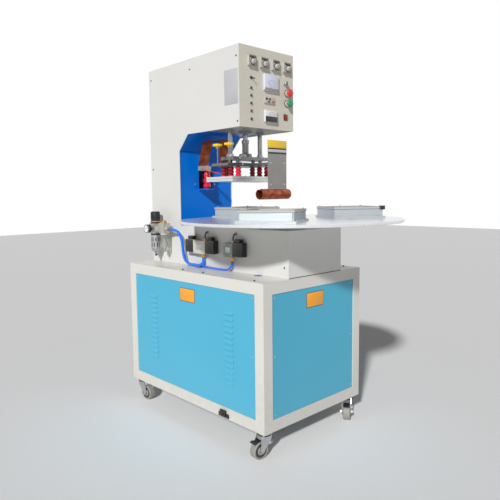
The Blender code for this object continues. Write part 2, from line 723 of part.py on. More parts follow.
def make_valves(mats):
    """Two solenoid valves on the pedestal's left side."""
    side = -HOUSING_W / 2 - SEAT
    for index, (d, length, coils) in enumerate(((0.54, 0.085, (-1, 1)), (0.335, 0.06, (-1,)))):
        y = FRONT_Y + d
        low, high = 0.802, 0.864
        bm = bmesh.new()
        add_box(bm, (side - 0.034, y - length / 2, low), (side, y + length / 2, high))
        body = finish("valve_%d" % (index + 1), bm, mats["cast_silver"])
        extra = bmesh.new()
        for way in coils:
            faces = sorted((y + way * (length / 2 - 0.002), y + way * (length / 2 + 0.062)))
            add_box(extra, (side - 0.036, faces[0], low + 0.004), (side - 0.004, faces[1], high + 0.004))
        port = Matrix.Translation((side - 0.018, y - 0.012, low - 0.018))
        add_turned(extra, disc_profile(0.0085, 0, 0.02), 12, port)
        combine(body, extra, "UNION", "valve_coils_%d" % (index + 1))
        spot_y = y - 0.026 if index == 0 else y - 0.02
        tube_x = side - 0.018
        make_tube(
            "valve_tube_%d" % (index + 1),
            [
                (tube_x, spot_y, high + SEAT), (tube_x, spot_y, high + 0.02),
                (tube_x + 0.004, spot_y, high + 0.035), (side - 0.007, spot_y, high + 0.041),
                (side - SEAT, spot_y, high + 0.041),
            ],
            VALVE_TUBE_R, mats["hose_blue"], 0.006,
        )


def smooth_route(points, spacing):
    """Points of a smooth curve through the route's own points, about spacing apart."""
    points = [Vector(p) for p in points]
    ends = [points[0] * 2 - points[1]] + points + [points[-1] * 2 - points[-2]]
    route = []
    for a, b, c, d in zip(ends, ends[1:], ends[2:], ends[3:]):
        count = max(1, round((c - b).length / spacing))
        for i in range(count):
            t = i / count
            route.append(
                0.5 * (2 * b + (c - a) * t + (2 * a - 5 * b + 4 * c - d) * t * t
                       + (3 * b - a - 3 * c + d) * t ** 3)
            )
    route.append(points[-1])
    return route


def make_tube(name, points, radius, material, spacing):
    """A round hose along a route."""
    curve = bpy.data.curves.new(name, "CURVE")
    curve.dimensions = "3D"
    curve.bevel_depth = radius
    curve.bevel_resolution = TUBE_ROUNDNESS
    curve.use_fill_caps = True
    route = smooth_route(points, spacing)
    spline = curve.splines.new("POLY")
    spline.points.add(len(route) - 1)
    for point, place in zip(spline.points, route):
        point.co = (*place, 1.0)
    curve.materials.append(material)
    obj = bpy.data.objects.new(name, curve)
    bpy.context.scene.collection.objects.link(obj)
    return obj


def make_hoses(mats):
    """Blue air hoses from the air unit to the valves."""
    port_x = -HOUSING_W / 2 - SEAT - 0.018
    x = -0.211
    port_low = 0.784 - SEAT

    def at(d, z, line_x=x):
        return (line_x, FRONT_Y + d, z)

    outlet = 0.804 - 0.036 - SEAT
    main = [
        at(outlet, 0.913, -0.225), at(0.75, 0.913, -0.225), at(0.706, 0.9), at(0.676, 0.862),
        at(0.668, 0.812), at(0.656, 0.772), at(0.628, 0.75), at(0.59, 0.744), at(0.548, 0.745, -0.203),
        at(0.53, 0.76, port_x), at(0.528, 0.774, port_x), at(0.528, port_low, port_x),
    ]
    make_tube("air_hose", main, AIR_HOSE_R, mats["hose_blue"], 0.014)
    tee_x = x + AIR_HOSE_R + SEAT
    branch = [
        at(0.597, 0.7445, tee_x), at(0.597, 0.7445, tee_x + 0.005), at(0.584, 0.742, tee_x + 0.014),
        at(0.545, 0.7385, -0.186), at(0.41, 0.738, -0.196), at(0.352, 0.742, -0.197),
        at(0.327, 0.76, port_x), at(0.323, 0.774, port_x), at(0.323, port_low, port_x),
    ]
    make_tube("branch_hose", branch, BRANCH_HOSE_R, mats["hose_blue"], 0.012)


def make_casters(mats):
    """Four swivel casters under the frame's corners."""
    half = CABINET_W / 2 - CASTER_INSET
    for name, heading in CASTER_HEADINGS.items():
        x = -half if name.endswith("left") else half
        y = FRONT_Y + CASTER_INSET if name.startswith("front") else REAR_Y - CASTER_INSET
        make_caster(name, x, y, math.radians(heading), mats)


def make_caster(name, x, y, heading, mats):
    """A fork that swivels under its pad, and its wheel; the heading is where the wheel trails."""
    place = Matrix.Translation((x, y, 0)) @ Matrix.Rotation(heading, 4, "Z")
    top = FRAME_BOTTOM - 0.003 - SEAT
    inner = WHEEL_W / 2 + 0.002
    outer = inner + 0.003
    bm = bmesh.new()
    crown = [
        (0, top - 0.016), (0.024, top - 0.016), (0.027, top - 0.012), (0.027, top - 0.004), (0.02, top),
        (0, top),
    ]
    add_turned(bm, crown, 16, place)
    fork = finish("caster_fork_" + name, bm, mats["zinc"])
    legs = bmesh.new()
    leg = [
        (-0.022, top - 0.006), (0.024, top - 0.006), (0.034, top - 0.03),
        (CASTER_TRAIL + 0.011, WHEEL_R - 0.006),
        (CASTER_TRAIL, WHEEL_R - 0.011), (CASTER_TRAIL - 0.011, WHEEL_R - 0.006), (-0.02, top - 0.028),
    ]
    upright = place @ Matrix(((1, 0, 0, 0), (0, 0, 1, 0), (0, 1, 0, 0), (0, 0, 0, 1)))
    for way in (-1, 1):
        faces = sorted((way * inner, way * outer))
        add_prism(legs, leg, faces[0], faces[1], upright)
    combine(fork, legs, "UNION", "fork_legs_" + name)
    pin = bmesh.new()
    axle = place @ along("Y", (CASTER_TRAIL, 0, WHEEL_R))
    add_turned(pin, disc_profile(0.005, -outer - 0.004, outer + 0.004), 12, axle)
    combine(fork, pin, "UNION", "fork_pin_" + name)
    half = WHEEL_W / 2
    tread = 0.004
    profile = [
        (0.0055, -half), (0.016, -half), (0.019, -half + 0.003), (0.028, -half + 0.003),
        (WHEEL_R - tread, -half), (WHEEL_R, -half + tread), (WHEEL_R, half - tread),
        (WHEEL_R - tread, half), (0.028, half - 0.003), (0.019, half - 0.003), (0.016, half), (0.0055, half),
    ]
    turned_object("caster_wheel_" + name, profile, 20, mats["wheel_grey"], axle)


def make_materials():
    """One plain Principled material for each finish."""
    return {
        "frame_paint": make_material("frame_paint", (0.78, 0.77, 0.73), 0.4),
        "housing_paint": make_material("housing_paint", (0.8, 0.79, 0.75), 0.4),
        "panel_paint": make_material("panel_paint", (0.62, 0.6, 0.52), 0.45),
        "panel_blue": make_material("panel_blue", (0.13, 0.5, 0.78), 0.4),
        "liner_blue": make_material("liner_blue", (0.01, 0.16, 0.55), 0.35),
        "floor_grey": make_material("floor_grey", (0.45, 0.45, 0.43), 0.5),
        "timer_grey": make_material("timer_grey", (0.6, 0.6, 0.58), 0.5),
        "meter_white": make_material("meter_white", (0.8, 0.8, 0.8), 0.25),
        "button_red": make_material("button_red", (0.6, 0.02, 0.02), 0.35),
        "button_green": make_material("button_green", (0.02, 0.35, 0.12), 0.35),
        "disc_alu": make_material("disc_alu", (0.8, 0.81, 0.82), 0.35, 1.0),
        "tray_alu": make_material("tray_alu", (0.75, 0.75, 0.73), 0.4, 1.0),
        "press_steel": make_material("press_steel", (0.4, 0.4, 0.4), 0.4, 1.0),
        "electrode_alu": make_material("electrode_alu", (0.7, 0.7, 0.7), 0.35, 1.0),
        "insulator_red": make_material("insulator_red", (0.5, 0.01, 0.03), 0.3),
        "plate_grey": make_material("plate_grey", (0.35, 0.34, 0.33), 0.5, 1.0),
        "copper": make_material("copper", (0.55, 0.22, 0.1), 0.4, 1.0),
        "knob_yellow": make_material("knob_yellow", (0.9, 0.65, 0.0), 0.35),
        "cast_silver": make_material("cast_silver", (0.62, 0.6, 0.56), 0.45, 1.0),
        "black_plastic": make_material("black_plastic", (0.02, 0.02, 0.02), 0.4),
        "bowl_clear": make_material("bowl_clear", (0.8, 0.8, 0.75), 0.1),
        "hose_blue": make_material("hose_blue", (0.0, 0.2, 0.8), 0.3),
        "zinc": make_material("zinc", (0.6, 0.6, 0.6), 0.35, 1.0),
        "wheel_grey": make_material("wheel_grey", (0.25, 0.25, 0.25), 0.6),
    }


def main():
    """Build the whole machine."""
    clear_scene()
    mats = make_materials()
    make_cabinet(mats)
    liner = make_housing(mats)
    make_turntable(mats)
    make_press(mats)
    make_feed(mats, liner)
    make_air_unit(mats)
    make_valves(mats)
    make_hoses(mats)
    make_casters(mats)


main()
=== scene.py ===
import json
import logging
import math
from dataclasses import dataclass
from enum import Enum
from typing import Optional, Sequence, Union

import bmesh
import bpy
from mathutils import Matrix, Vector


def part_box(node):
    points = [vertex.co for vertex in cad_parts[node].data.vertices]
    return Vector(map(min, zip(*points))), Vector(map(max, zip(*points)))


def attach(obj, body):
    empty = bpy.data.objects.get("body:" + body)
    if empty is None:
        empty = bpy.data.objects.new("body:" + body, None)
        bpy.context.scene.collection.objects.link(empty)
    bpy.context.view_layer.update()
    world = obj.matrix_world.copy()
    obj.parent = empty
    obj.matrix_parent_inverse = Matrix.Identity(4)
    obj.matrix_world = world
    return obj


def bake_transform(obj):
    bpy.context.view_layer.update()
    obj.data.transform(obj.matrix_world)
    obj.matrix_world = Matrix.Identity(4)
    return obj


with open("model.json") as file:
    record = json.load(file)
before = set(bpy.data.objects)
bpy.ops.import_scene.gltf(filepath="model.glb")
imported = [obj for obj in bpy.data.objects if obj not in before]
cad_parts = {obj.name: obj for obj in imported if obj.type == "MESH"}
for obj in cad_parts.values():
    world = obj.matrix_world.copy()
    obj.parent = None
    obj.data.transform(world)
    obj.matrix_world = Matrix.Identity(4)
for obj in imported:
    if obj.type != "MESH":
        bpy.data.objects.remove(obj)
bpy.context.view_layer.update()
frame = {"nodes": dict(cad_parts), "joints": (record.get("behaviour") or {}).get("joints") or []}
log = logging.getLogger("blister_machine")

Colour = tuple[float, float, float]
Point = Sequence[float]
FRONT_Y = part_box("cabinet_frame")[0][1]
DISC_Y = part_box("turntable_disc")[0][1] / 2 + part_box("turntable_disc")[1][1] / 2
PHOTO_SIDE = 500
SENSOR_MM = 36.0
PANEL_HOOD = 0.005
SHARP_ANGLE = math.radians(35.0)
SRGB_KNEE = 0.04045
MAX_BYTE = 255
UP = (0, 0, 1)
FORWARD = (0, -1, 0)
LEFTWARD = (-1, 0, 0)


def paint_colour(red: int, green: int, blue: int) -> Colour:
    """Turn a colour read as 0 to 255 into the shader's linear numbers.

    Args:
        red: the red part, 0 to 255.
        green: the green part.
        blue: the blue part.

    Returns:
        The linear colour.
    """
    steps = []
    for value in (red, green, blue):
        part = value / MAX_BYTE
        steps.append(part / 12.92 if part <= SRGB_KNEE else ((part + 0.055) / 1.055) ** 2.4)
    return tuple(steps)


class Wire:
    """A shader value that takes part in Python sums, which add the Math nodes they need."""

    def __init__(self, shader: "Shader", socket: bpy.types.NodeSocket) -> None:
        """Keep the shader that the value belongs to and its socket."""
        self.shader = shader
        self.socket = socket

    def _join(self, operation: str, first: "Number", second: "Number") -> "Wire":
        """Add one Math node for two values."""
        return self.shader.node("ShaderNodeMath", {"operation": operation}, {0: first, 1: second})

    def __add__(self, other: "Number") -> "Wire":
        """Sum."""
        return self._join("ADD", self, other)

    def __radd__(self, other: "Number") -> "Wire":
        """Sum with a plain number first."""
        return self._join("ADD", other, self)

    def __sub__(self, other: "Number") -> "Wire":
        """Difference."""
        return self._join("SUBTRACT", self, other)

    def __rsub__(self, other: "Number") -> "Wire":
        """Difference with a plain number first."""
        return self._join("SUBTRACT", other, self)

    def __mul__(self, other: "Number") -> "Wire":
        """Product."""
        return self._join("MULTIPLY", self, other)

    def __rmul__(self, other: "Number") -> "Wire":
        """Product with a plain number first."""
        return self._join("MULTIPLY", other, self)

    def __truediv__(self, other: "Number") -> "Wire":
        """Quotient."""
        return self._join("DIVIDE", self, other)

    def __pow__(self, other: "Number") -> "Wire":
        """Power."""
        return self._join("POWER", self, other)

    def above(self, edge: float) -> "Wire":
        """One where the value is above an edge, else zero."""
        return self._join("GREATER_THAN", self, edge)

    def most(self, other: "Number") -> "Wire":
        """The larger of two values."""
        return self._join("MAXIMUM", self, other)

    def least(self, other: "Number") -> "Wire":
        """The smaller of two values."""
        return self._join("MINIMUM", self, other)

    def ease(self, low: float, high: float) -> "Wire":
        """Go from zero at low to one at high."""
        scaled = (self - low) / (high - low)
        return scaled.most(0.0).least(1.0)


Number = Union[Wire, float, int]


class Shader:
    """One material's node tree, built on its Principled shader."""

    def __init__(self, name: str) -> None:
        """Start a material.

        Args:
            name: the material's name.
        """
        self.material = bpy.data.materials.new(name)
        self.material.use_nodes = True
        self.tree = self.material.node_tree
        self.principled = self.tree.nodes["Principled BSDF"]
        self._place: Optional[Wire] = None

    def feed(self, socket: bpy.types.NodeSocket, value: object) -> None:
        """Link a wire to a socket, or set the socket's own value.

        Args:
            socket: the input to fill.
            value: a Wire, a number, a colour or a vector.
        """
        if isinstance(value, Wire):
            self.tree.links.new(value.socket, socket)
        elif socket.type == "RGBA" and len(value) == 3:
            socket.default_value = (*value, 1.0)
        else:
            socket.default_value = value

    def node(self, kind: str, settings: Optional[dict] = None, values: Optional[dict] = None,
             output: int = 0) -> Wire:
        """Add a node.

        Args:
            kind: the node's type.
            settings: the node's own settings; stops sets a colour ramp.
            values: values or wires for its inputs.
            output: the number of the output to use.

        Returns:
            A wire from that output.
        """
        made = self.tree.nodes.new(kind)
        for key, value in (settings or {}).items():
            if key == "stops":
                self._set_stops(made.color_ramp, value)
            else:
                setattr(made, key, value)
        for key, value in (values or {}).items():
            self.feed(made.inputs[key], value)
        return Wire(self, made.outputs[output])

    @staticmethod
    def _set_stops(ramp: bpy.types.ColorRamp, stops: Sequence[tuple[float, Colour]]) -> None:
        """Fill a colour ramp.

        Args:
            ramp: the ramp to fill.
            stops: its (place, colour) stops.
        """
        while len(ramp.elements) < len(stops):
            ramp.elements.new(0.5)
        for element, (place, colour) in zip(ramp.elements, stops):
            element.position = place
            element.color = (*colour, 1.0)

    def place(self) -> Wire:
        """The piece's own coordinates.

        Returns:
            A wire that carries them, in metres.
        """
        if self._place is None:
            self._place = self.node("ShaderNodeTexCoord", output=3)
        return self._place

    def axes(self) -> tuple[Wire, Wire, Wire]:
        """The piece's own coordinates, split.

        Returns:
            Wires for x, y and z.
        """
        split = self.node("ShaderNodeSeparateXYZ", {}, {0: self.place()})
        outputs = split.socket.node.outputs
        return tuple(Wire(self, outputs[i]) for i in range(3))

    def noise(self, scale: float, detail: float = 3.0, stretch: Point = (1, 1, 1),
              at: Optional[Wire] = None) -> Wire:
        """Soft noise from 0 to 1.

        Args:
            scale: grains per metre.
            detail: octaves.
            stretch: how much finer it is along each axis.
            at: other coordinates to read it at.

        Returns:
            The noise value.
        """
        mapped = self.node("ShaderNodeMapping", {}, {"Vector": at or self.place(), "Scale": tuple(stretch)})
        values = {"Vector": mapped, "Scale": scale, "Detail": detail, "Roughness": 0.55}
        return self.node("ShaderNodeTexNoise", {}, values)

    def mix(self, share: Number, first: object, second: object) -> Wire:
        """Blend two colours.

        Args:
            share: how much of the second colour shows.
            first: a colour or wire.
            second: a colour or wire.

        Returns:
            The blended colour.
        """
        return self.node("ShaderNodeMix", {"data_type": "RGBA"}, {0: share, 6: first, 7: second}, output=2)

    def relief(self, height: Wire, strength: float, depth: float) -> Wire:
        """A normal from a height.

        Args:
            height: the height value.
            strength: how much of it shows.
            depth: the height in metres of a step from 0 to 1.

        Returns:
            The normal to feed to the shader.
        """
        return self.node("ShaderNodeBump", {}, {"Strength": strength, "Distance": depth, "Height": height})

    def surface(self, values: dict) -> bpy.types.Material:
        """Fill the Principled shader's inputs by name.

        Args:
            values: values or wires by input name.

        Returns:
            The finished material.
        """
        for key, value in values.items():
            self.feed(self.principled.inputs[key], value)
        return self.material


class Finish:
    """What every finish shares: it is built once and then reused."""

    name: str
    _made: dict[str, bpy.types.Material] = {}

    def material(self) -> bpy.types.Material:
        """The finish's material, built when it is first asked for.

        Returns:
            The material, the same one each time.
        """
        if self.name not in Finish._made:
            Finish._made[self.name] = self.build(Shader(self.name))
        return Finish._made[self.name]


@dataclass(frozen=True)
class Paint(Finish):
    """Stoved paint on sheet: fine orange peel, slow tone changes, and a little dust low down."""

    name: str
    colour: Colour
    roughness: float = 0.38
    peel: float = 0.10
    dust: float = 0.0
    coat: float = 0.12
    shine: float = 0.5

    def build(self, shader: Shader) -> bpy.types.Material:
        """Build the material.

        Args:
            shader: the empty shader to fill.

        Returns:
            The finished material.
        """
        slow = shader.noise(3.0, 4.0)
        cloud = shader.noise(38.0, 3.0)
        fine = shader.noise(850.0, 2.0)
        deep = tuple(part * 0.9 for part in self.colour)
        tone = shader.mix((slow - 0.35) * 0.8, self.colour, deep)
        height = shader.axes()[2]
        soil = (1 - height.ease(0.1, 0.45)) * cloud * self.dust
        colour = shader.mix(soil, tone, paint_colour(150, 142, 128))
        return shader.surface({
            "Base Color": colour,
            "Roughness": cloud * 0.12 + (self.roughness - 0.06) + soil * 0.4,
            "Coat Weight": self.coat,
            "Coat Roughness": 0.22,
            "Specular IOR Level": self.shine,
            "Normal": shader.relief(fine, self.peel, 0.0004),
        })


class Lay(Enum):
    """The direction of a metal's tool marks, as the fineness along each axis."""

    ALONG_X = (3, 260, 260)
    ALONG_Y = (260, 3, 260)
    ALONG_Z = (260, 260, 3)
    CAST = (90, 90, 90)


@dataclass(frozen=True)
class Metal(Finish):
    """Bare or plated metal with tool marks, fine scratches and smudges."""

    name: str
    colour: Colour
    roughness: float = 0.35
    lay: Lay = Lay.CAST
    marks: float = 0.15
    stain: float = 0.2
    metallic: float = 1.0

    def build(self, shader: Shader) -> bpy.types.Material:
        """Build the material.

        Args:
            shader: the empty shader to fill.

        Returns:
            The finished material.
        """
        marks = shader.noise(4.0, 4.0, self.lay.value)
        smudge = shader.noise(26.0, 4.0)
        dull = tuple(part * 0.72 for part in self.colour)
        colour = shader.mix((smudge - 0.42) * (3.0 * self.stain), self.colour, dull)
        return shader.surface({
            "Base Color": colour,
            "Metallic": self.metallic,
            "Roughness": marks * 0.18 + smudge * 0.12 + (self.roughness - 0.15),
            "Normal": shader.relief(marks, self.marks, 0.0003),
        })


@dataclass(frozen=True)
class TurnedDisc(Finish):
    """Aluminium plate with fine turned rings about the disc's axis, and smudges from handling."""

    name: str
    colour: Colour
    centre: tuple[float, float]

    def build(self, shader: Shader) -> bpy.types.Material:
        """Build the material.

        Args:
            shader: the empty shader to fill.

        Returns:
            The finished material.
        """
        x, y, _ = shader.axes()
        across, deep = x - self.centre[0], y - self.centre[1]
        radius = (across * across + deep * deep) ** 0.5
        ring_place = shader.node("ShaderNodeCombineXYZ", {}, {0: radius, 1: 0.0, 2: 0.0})
        rings = shader.noise(900.0, 3.0, at=ring_place)
        smudge = shader.noise(9.0, 5.0)
        fine = shader.noise(160.0, 3.0)
        colour = shader.mix((smudge - 0.4) * 0.9, self.colour, tuple(part * 0.82 for part in self.colour))
        return shader.surface({
            "Base Color": colour,
            "Metallic": 0.8,
            "Roughness": smudge * 0.16 + rings * 0.1 + fine * 0.05 + 0.14,
            "Normal": shader.relief(rings, 0.12, 0.0003),
        })


@dataclass(frozen=True)
class Moulded(Finish):
    """Moulded plastic or enamelled resin with a fine grain and handling marks."""

    name: str
    colour: Colour
    roughness: float = 0.35
    coat: float = 0.2
    grain: float = 0.08
    glow: float = 0.0

    def build(self, shader: Shader) -> bpy.types.Material:
        """Build the material.

        Args:
            shader: the empty shader to fill.

        Returns:
            The finished material.
        """
        grain = shader.noise(1400.0, 2.0)
        wear = shader.noise(55.0, 4.0)
        lighter = tuple(part * 0.85 + 0.02 for part in self.colour)
        return shader.surface({
            "Base Color": shader.mix((wear - 0.4) * 0.9, self.colour, lighter),
            "Roughness": wear * 0.16 + (self.roughness - 0.08),
            "Coat Weight": self.coat,
            "Coat Roughness": 0.12,
            "Emission Color": (*self.colour, 1.0),
            "Emission Strength": self.glow,
            "Normal": shader.relief(grain, self.grain, 0.0002),
        })


@dataclass(frozen=True)
class Clear(Finish):
    """Clear moulded plastic or glass with a faint tint and dust."""

    name: str
    colour: Colour
    roughness: float = 0.08
    clearness: float = 0.85

    def build(self, shader: Shader) -> bpy.types.Material:
        """Build the material.

        Args:
            shader: the empty shader to fill.

        Returns:
            The finished material.
        """
        film = shader.noise(70.0, 4.0)
        return shader.surface({
            "Base Color": shader.mix(film * 0.35, self.colour, tuple(part * 0.9 for part in self.colour)),
            "Roughness": film * 0.12 + self.roughness,
            "Transmission Weight": self.clearness,
            "IOR": 1.45,
            "Coat Weight": 0.3,
        })


@dataclass(frozen=True)
class Copper(Finish):
    """Bare copper sheet that has tarnished in clouds, with rolling marks along it."""

    name: str
    lay: Lay = Lay.ALONG_X

    def build(self, shader: Shader) -> bpy.types.Material:
        """Build the material.

        Args:
            shader: the empty shader to fill.

        Returns:
            The finished material.
        """
        cloud = shader.noise(34.0, 5.0)
        marks = shader.noise(3.0, 3.0, self.lay.value)
        stops = [
            (0.30, paint_colour(196, 112, 78)), (0.48, paint_colour(168, 88, 58)),
            (0.62, paint_colour(132, 66, 44)), (0.78, paint_colour(96, 52, 40)),
        ]
        colour = shader.node("ShaderNodeValToRGB", {"stops": stops}, {0: cloud})
        return shader.surface({
            "Base Color": colour,
            "Metallic": 0.85,
            "Roughness": cloud * 0.25 + marks * 0.1 + 0.22,
            "Normal": shader.relief(marks, 0.12, 0.0003),
        })


class Finishes(Enum):
    """The finishes of the machine."""

    WHITE = Paint("white_stoved_paint", paint_colour(222, 220, 213), dust=0.35)
    HOUSING = Paint("housing_stoved_paint", paint_colour(222, 221, 217))
    CONSOLE = Paint("console_cream_paint", paint_colour(218, 213, 199))
    SKY = Paint("panel_sky_blue_paint", paint_colour(84, 180, 212), roughness=0.34, dust=0.12, coat=0.04,
                shine=0.25)
    DEEP_BLUE = Paint("throat_blue_paint", paint_colour(0, 120, 224), roughness=0.3, peel=0.06, coat=0.02,
                      shine=0.2)
    # Painted shade: a mid grey for the head's downward-facing floor, standing for the shade under the head.
    UNDERSIDE_SHADE_GREY = Paint("head_floor_painted_shade_grey", paint_colour(150, 150, 146), roughness=0.45)
    DISC = TurnedDisc("disc_turned_aluminium", paint_colour(236, 237, 240), (0.0, DISC_Y))
    TRAY = Metal("tray_milled_aluminium", paint_colour(186, 192, 196), 0.36, Lay.ALONG_X, 0.12, 0.15, 0.7)
    ELECTRODE = Metal("electrode_milled_aluminium", paint_colour(222, 222, 222), 0.34, Lay.ALONG_X, 0.14,
                      0.18, 0.8)
    STEEL = Metal("press_ground_steel", paint_colour(128, 128, 130), 0.3, Lay.ALONG_X, 0.12, 0.3)
    CHROME = Metal("rod_hard_chrome", paint_colour(150, 152, 158), 0.18, Lay.ALONG_Z, 0.05, 0.5)
    BACKING = Metal("contact_satin_steel", paint_colour(150, 147, 144), 0.42, Lay.ALONG_Z, 0.12, 0.25, 0.75)
    ZINC = Metal("zinc_plate", paint_colour(196, 197, 198), 0.3, Lay.CAST, 0.08, 0.3)
    CAST = Metal("cast_alloy", paint_colour(205, 202, 196), 0.42, Lay.CAST, 0.25, 0.2, 0.7)
    BRASS = Metal("turned_brass", paint_colour(206, 160, 84), 0.28, Lay.CAST, 0.06, 0.35)
    COPPER = Copper("tarnished_copper")
    RED_RESIN = Moulded("insulator_red_resin", paint_colour(212, 14, 50), 0.26, 0.5)
    RED_CAP = Moulded("stop_red_plastic", paint_colour(216, 40, 34), 0.28, 0.4)
    GREEN_CAP = Moulded("start_green_plastic", paint_colour(20, 140, 84), 0.28, 0.4)
    YELLOW = Moulded("knob_yellow_plastic", paint_colour(248, 206, 10), 0.28, 0.4)
    BLACK = Moulded("black_moulding", paint_colour(26, 26, 28), 0.38, 0.15)
    DARK = Moulded("dark_groove", paint_colour(44, 42, 44), 0.6, 0.0)
    TIMER = Moulded("timer_grey_moulding", paint_colour(196, 192, 184), 0.42, 0.15)
    METER = Moulded("meter_clear_cover", paint_colour(224, 224, 232), 0.14, 0.8)
    # A near-white card with a lilac tint: the white is the card, the tint is painted glare from the meter's
    # cover.
    DIAL_GLARE_TINT = Moulded("dial_card_painted_lilac_glare", paint_colour(222, 224, 244), 0.4, 0.2)
    METER_GREY = Moulded("meter_grey_foot", paint_colour(150, 144, 142), 0.4, 0.2)
    ROCKER_RED = Moulded("rocker_dark_red", paint_colour(150, 16, 30), 0.3, 0.3)
    DIAL = Moulded("dial_card", paint_colour(240, 240, 238), 0.5, 0.0)
    HOSE = Moulded("hose_blue_plastic", paint_colour(0, 112, 232), 0.2, 0.5, 0.02)
    TUBE = Moulded("tube_dark_blue_plastic", paint_colour(8, 44, 150), 0.22, 0.5, 0.02)
    TYRE = Moulded("tyre_grey_rubber", paint_colour(150, 148, 142), 0.6, 0.0, 0.3)
    HUB = Moulded("hub_dark_plastic", paint_colour(52, 52, 54), 0.42, 0.1)
    LENS_GREEN = Moulded("lens_green", paint_colour(12, 66, 44), 0.12, 0.7)
    LENS_RED = Moulded("lens_red", paint_colour(120, 12, 18), 0.12, 0.7)
    ORANGE = Moulded("plate_orange_enamel", paint_colour(250, 166, 24), 0.32, 0.4)
    SILVER_PLATE = Metal("label_brushed_silver", paint_colour(196, 196, 200), 0.36, Lay.ALONG_Y, 0.1, 0.1,
                         0.6)
    BOWL = Clear("bowl_clear_plastic", paint_colour(214, 218, 206))
    RED_LEAD = Moulded("braid_orange_red_sleeve", paint_colour(222, 58, 34), 0.4, 0.1)
    FIXTURE_WHITE = Paint("fixture_white_paint", paint_colour(206, 215, 217), roughness=0.3)
    TAN = Moulded("gasket_tan", paint_colour(176, 160, 142), 0.6, 0.0, 0.2)
    IVORY = Metal("valve_ivory_cast", paint_colour(214, 208, 192), 0.42, Lay.CAST, 0.2, 0.15, 0.25)
    GREY_GREEN = Metal("valve_grey_green_cast", paint_colour(138, 150, 138), 0.44, Lay.CAST, 0.2, 0.15, 0.25)

    @property
    def material(self) -> bpy.types.Material:
        """The finish's Blender material."""
        return self.value.material()


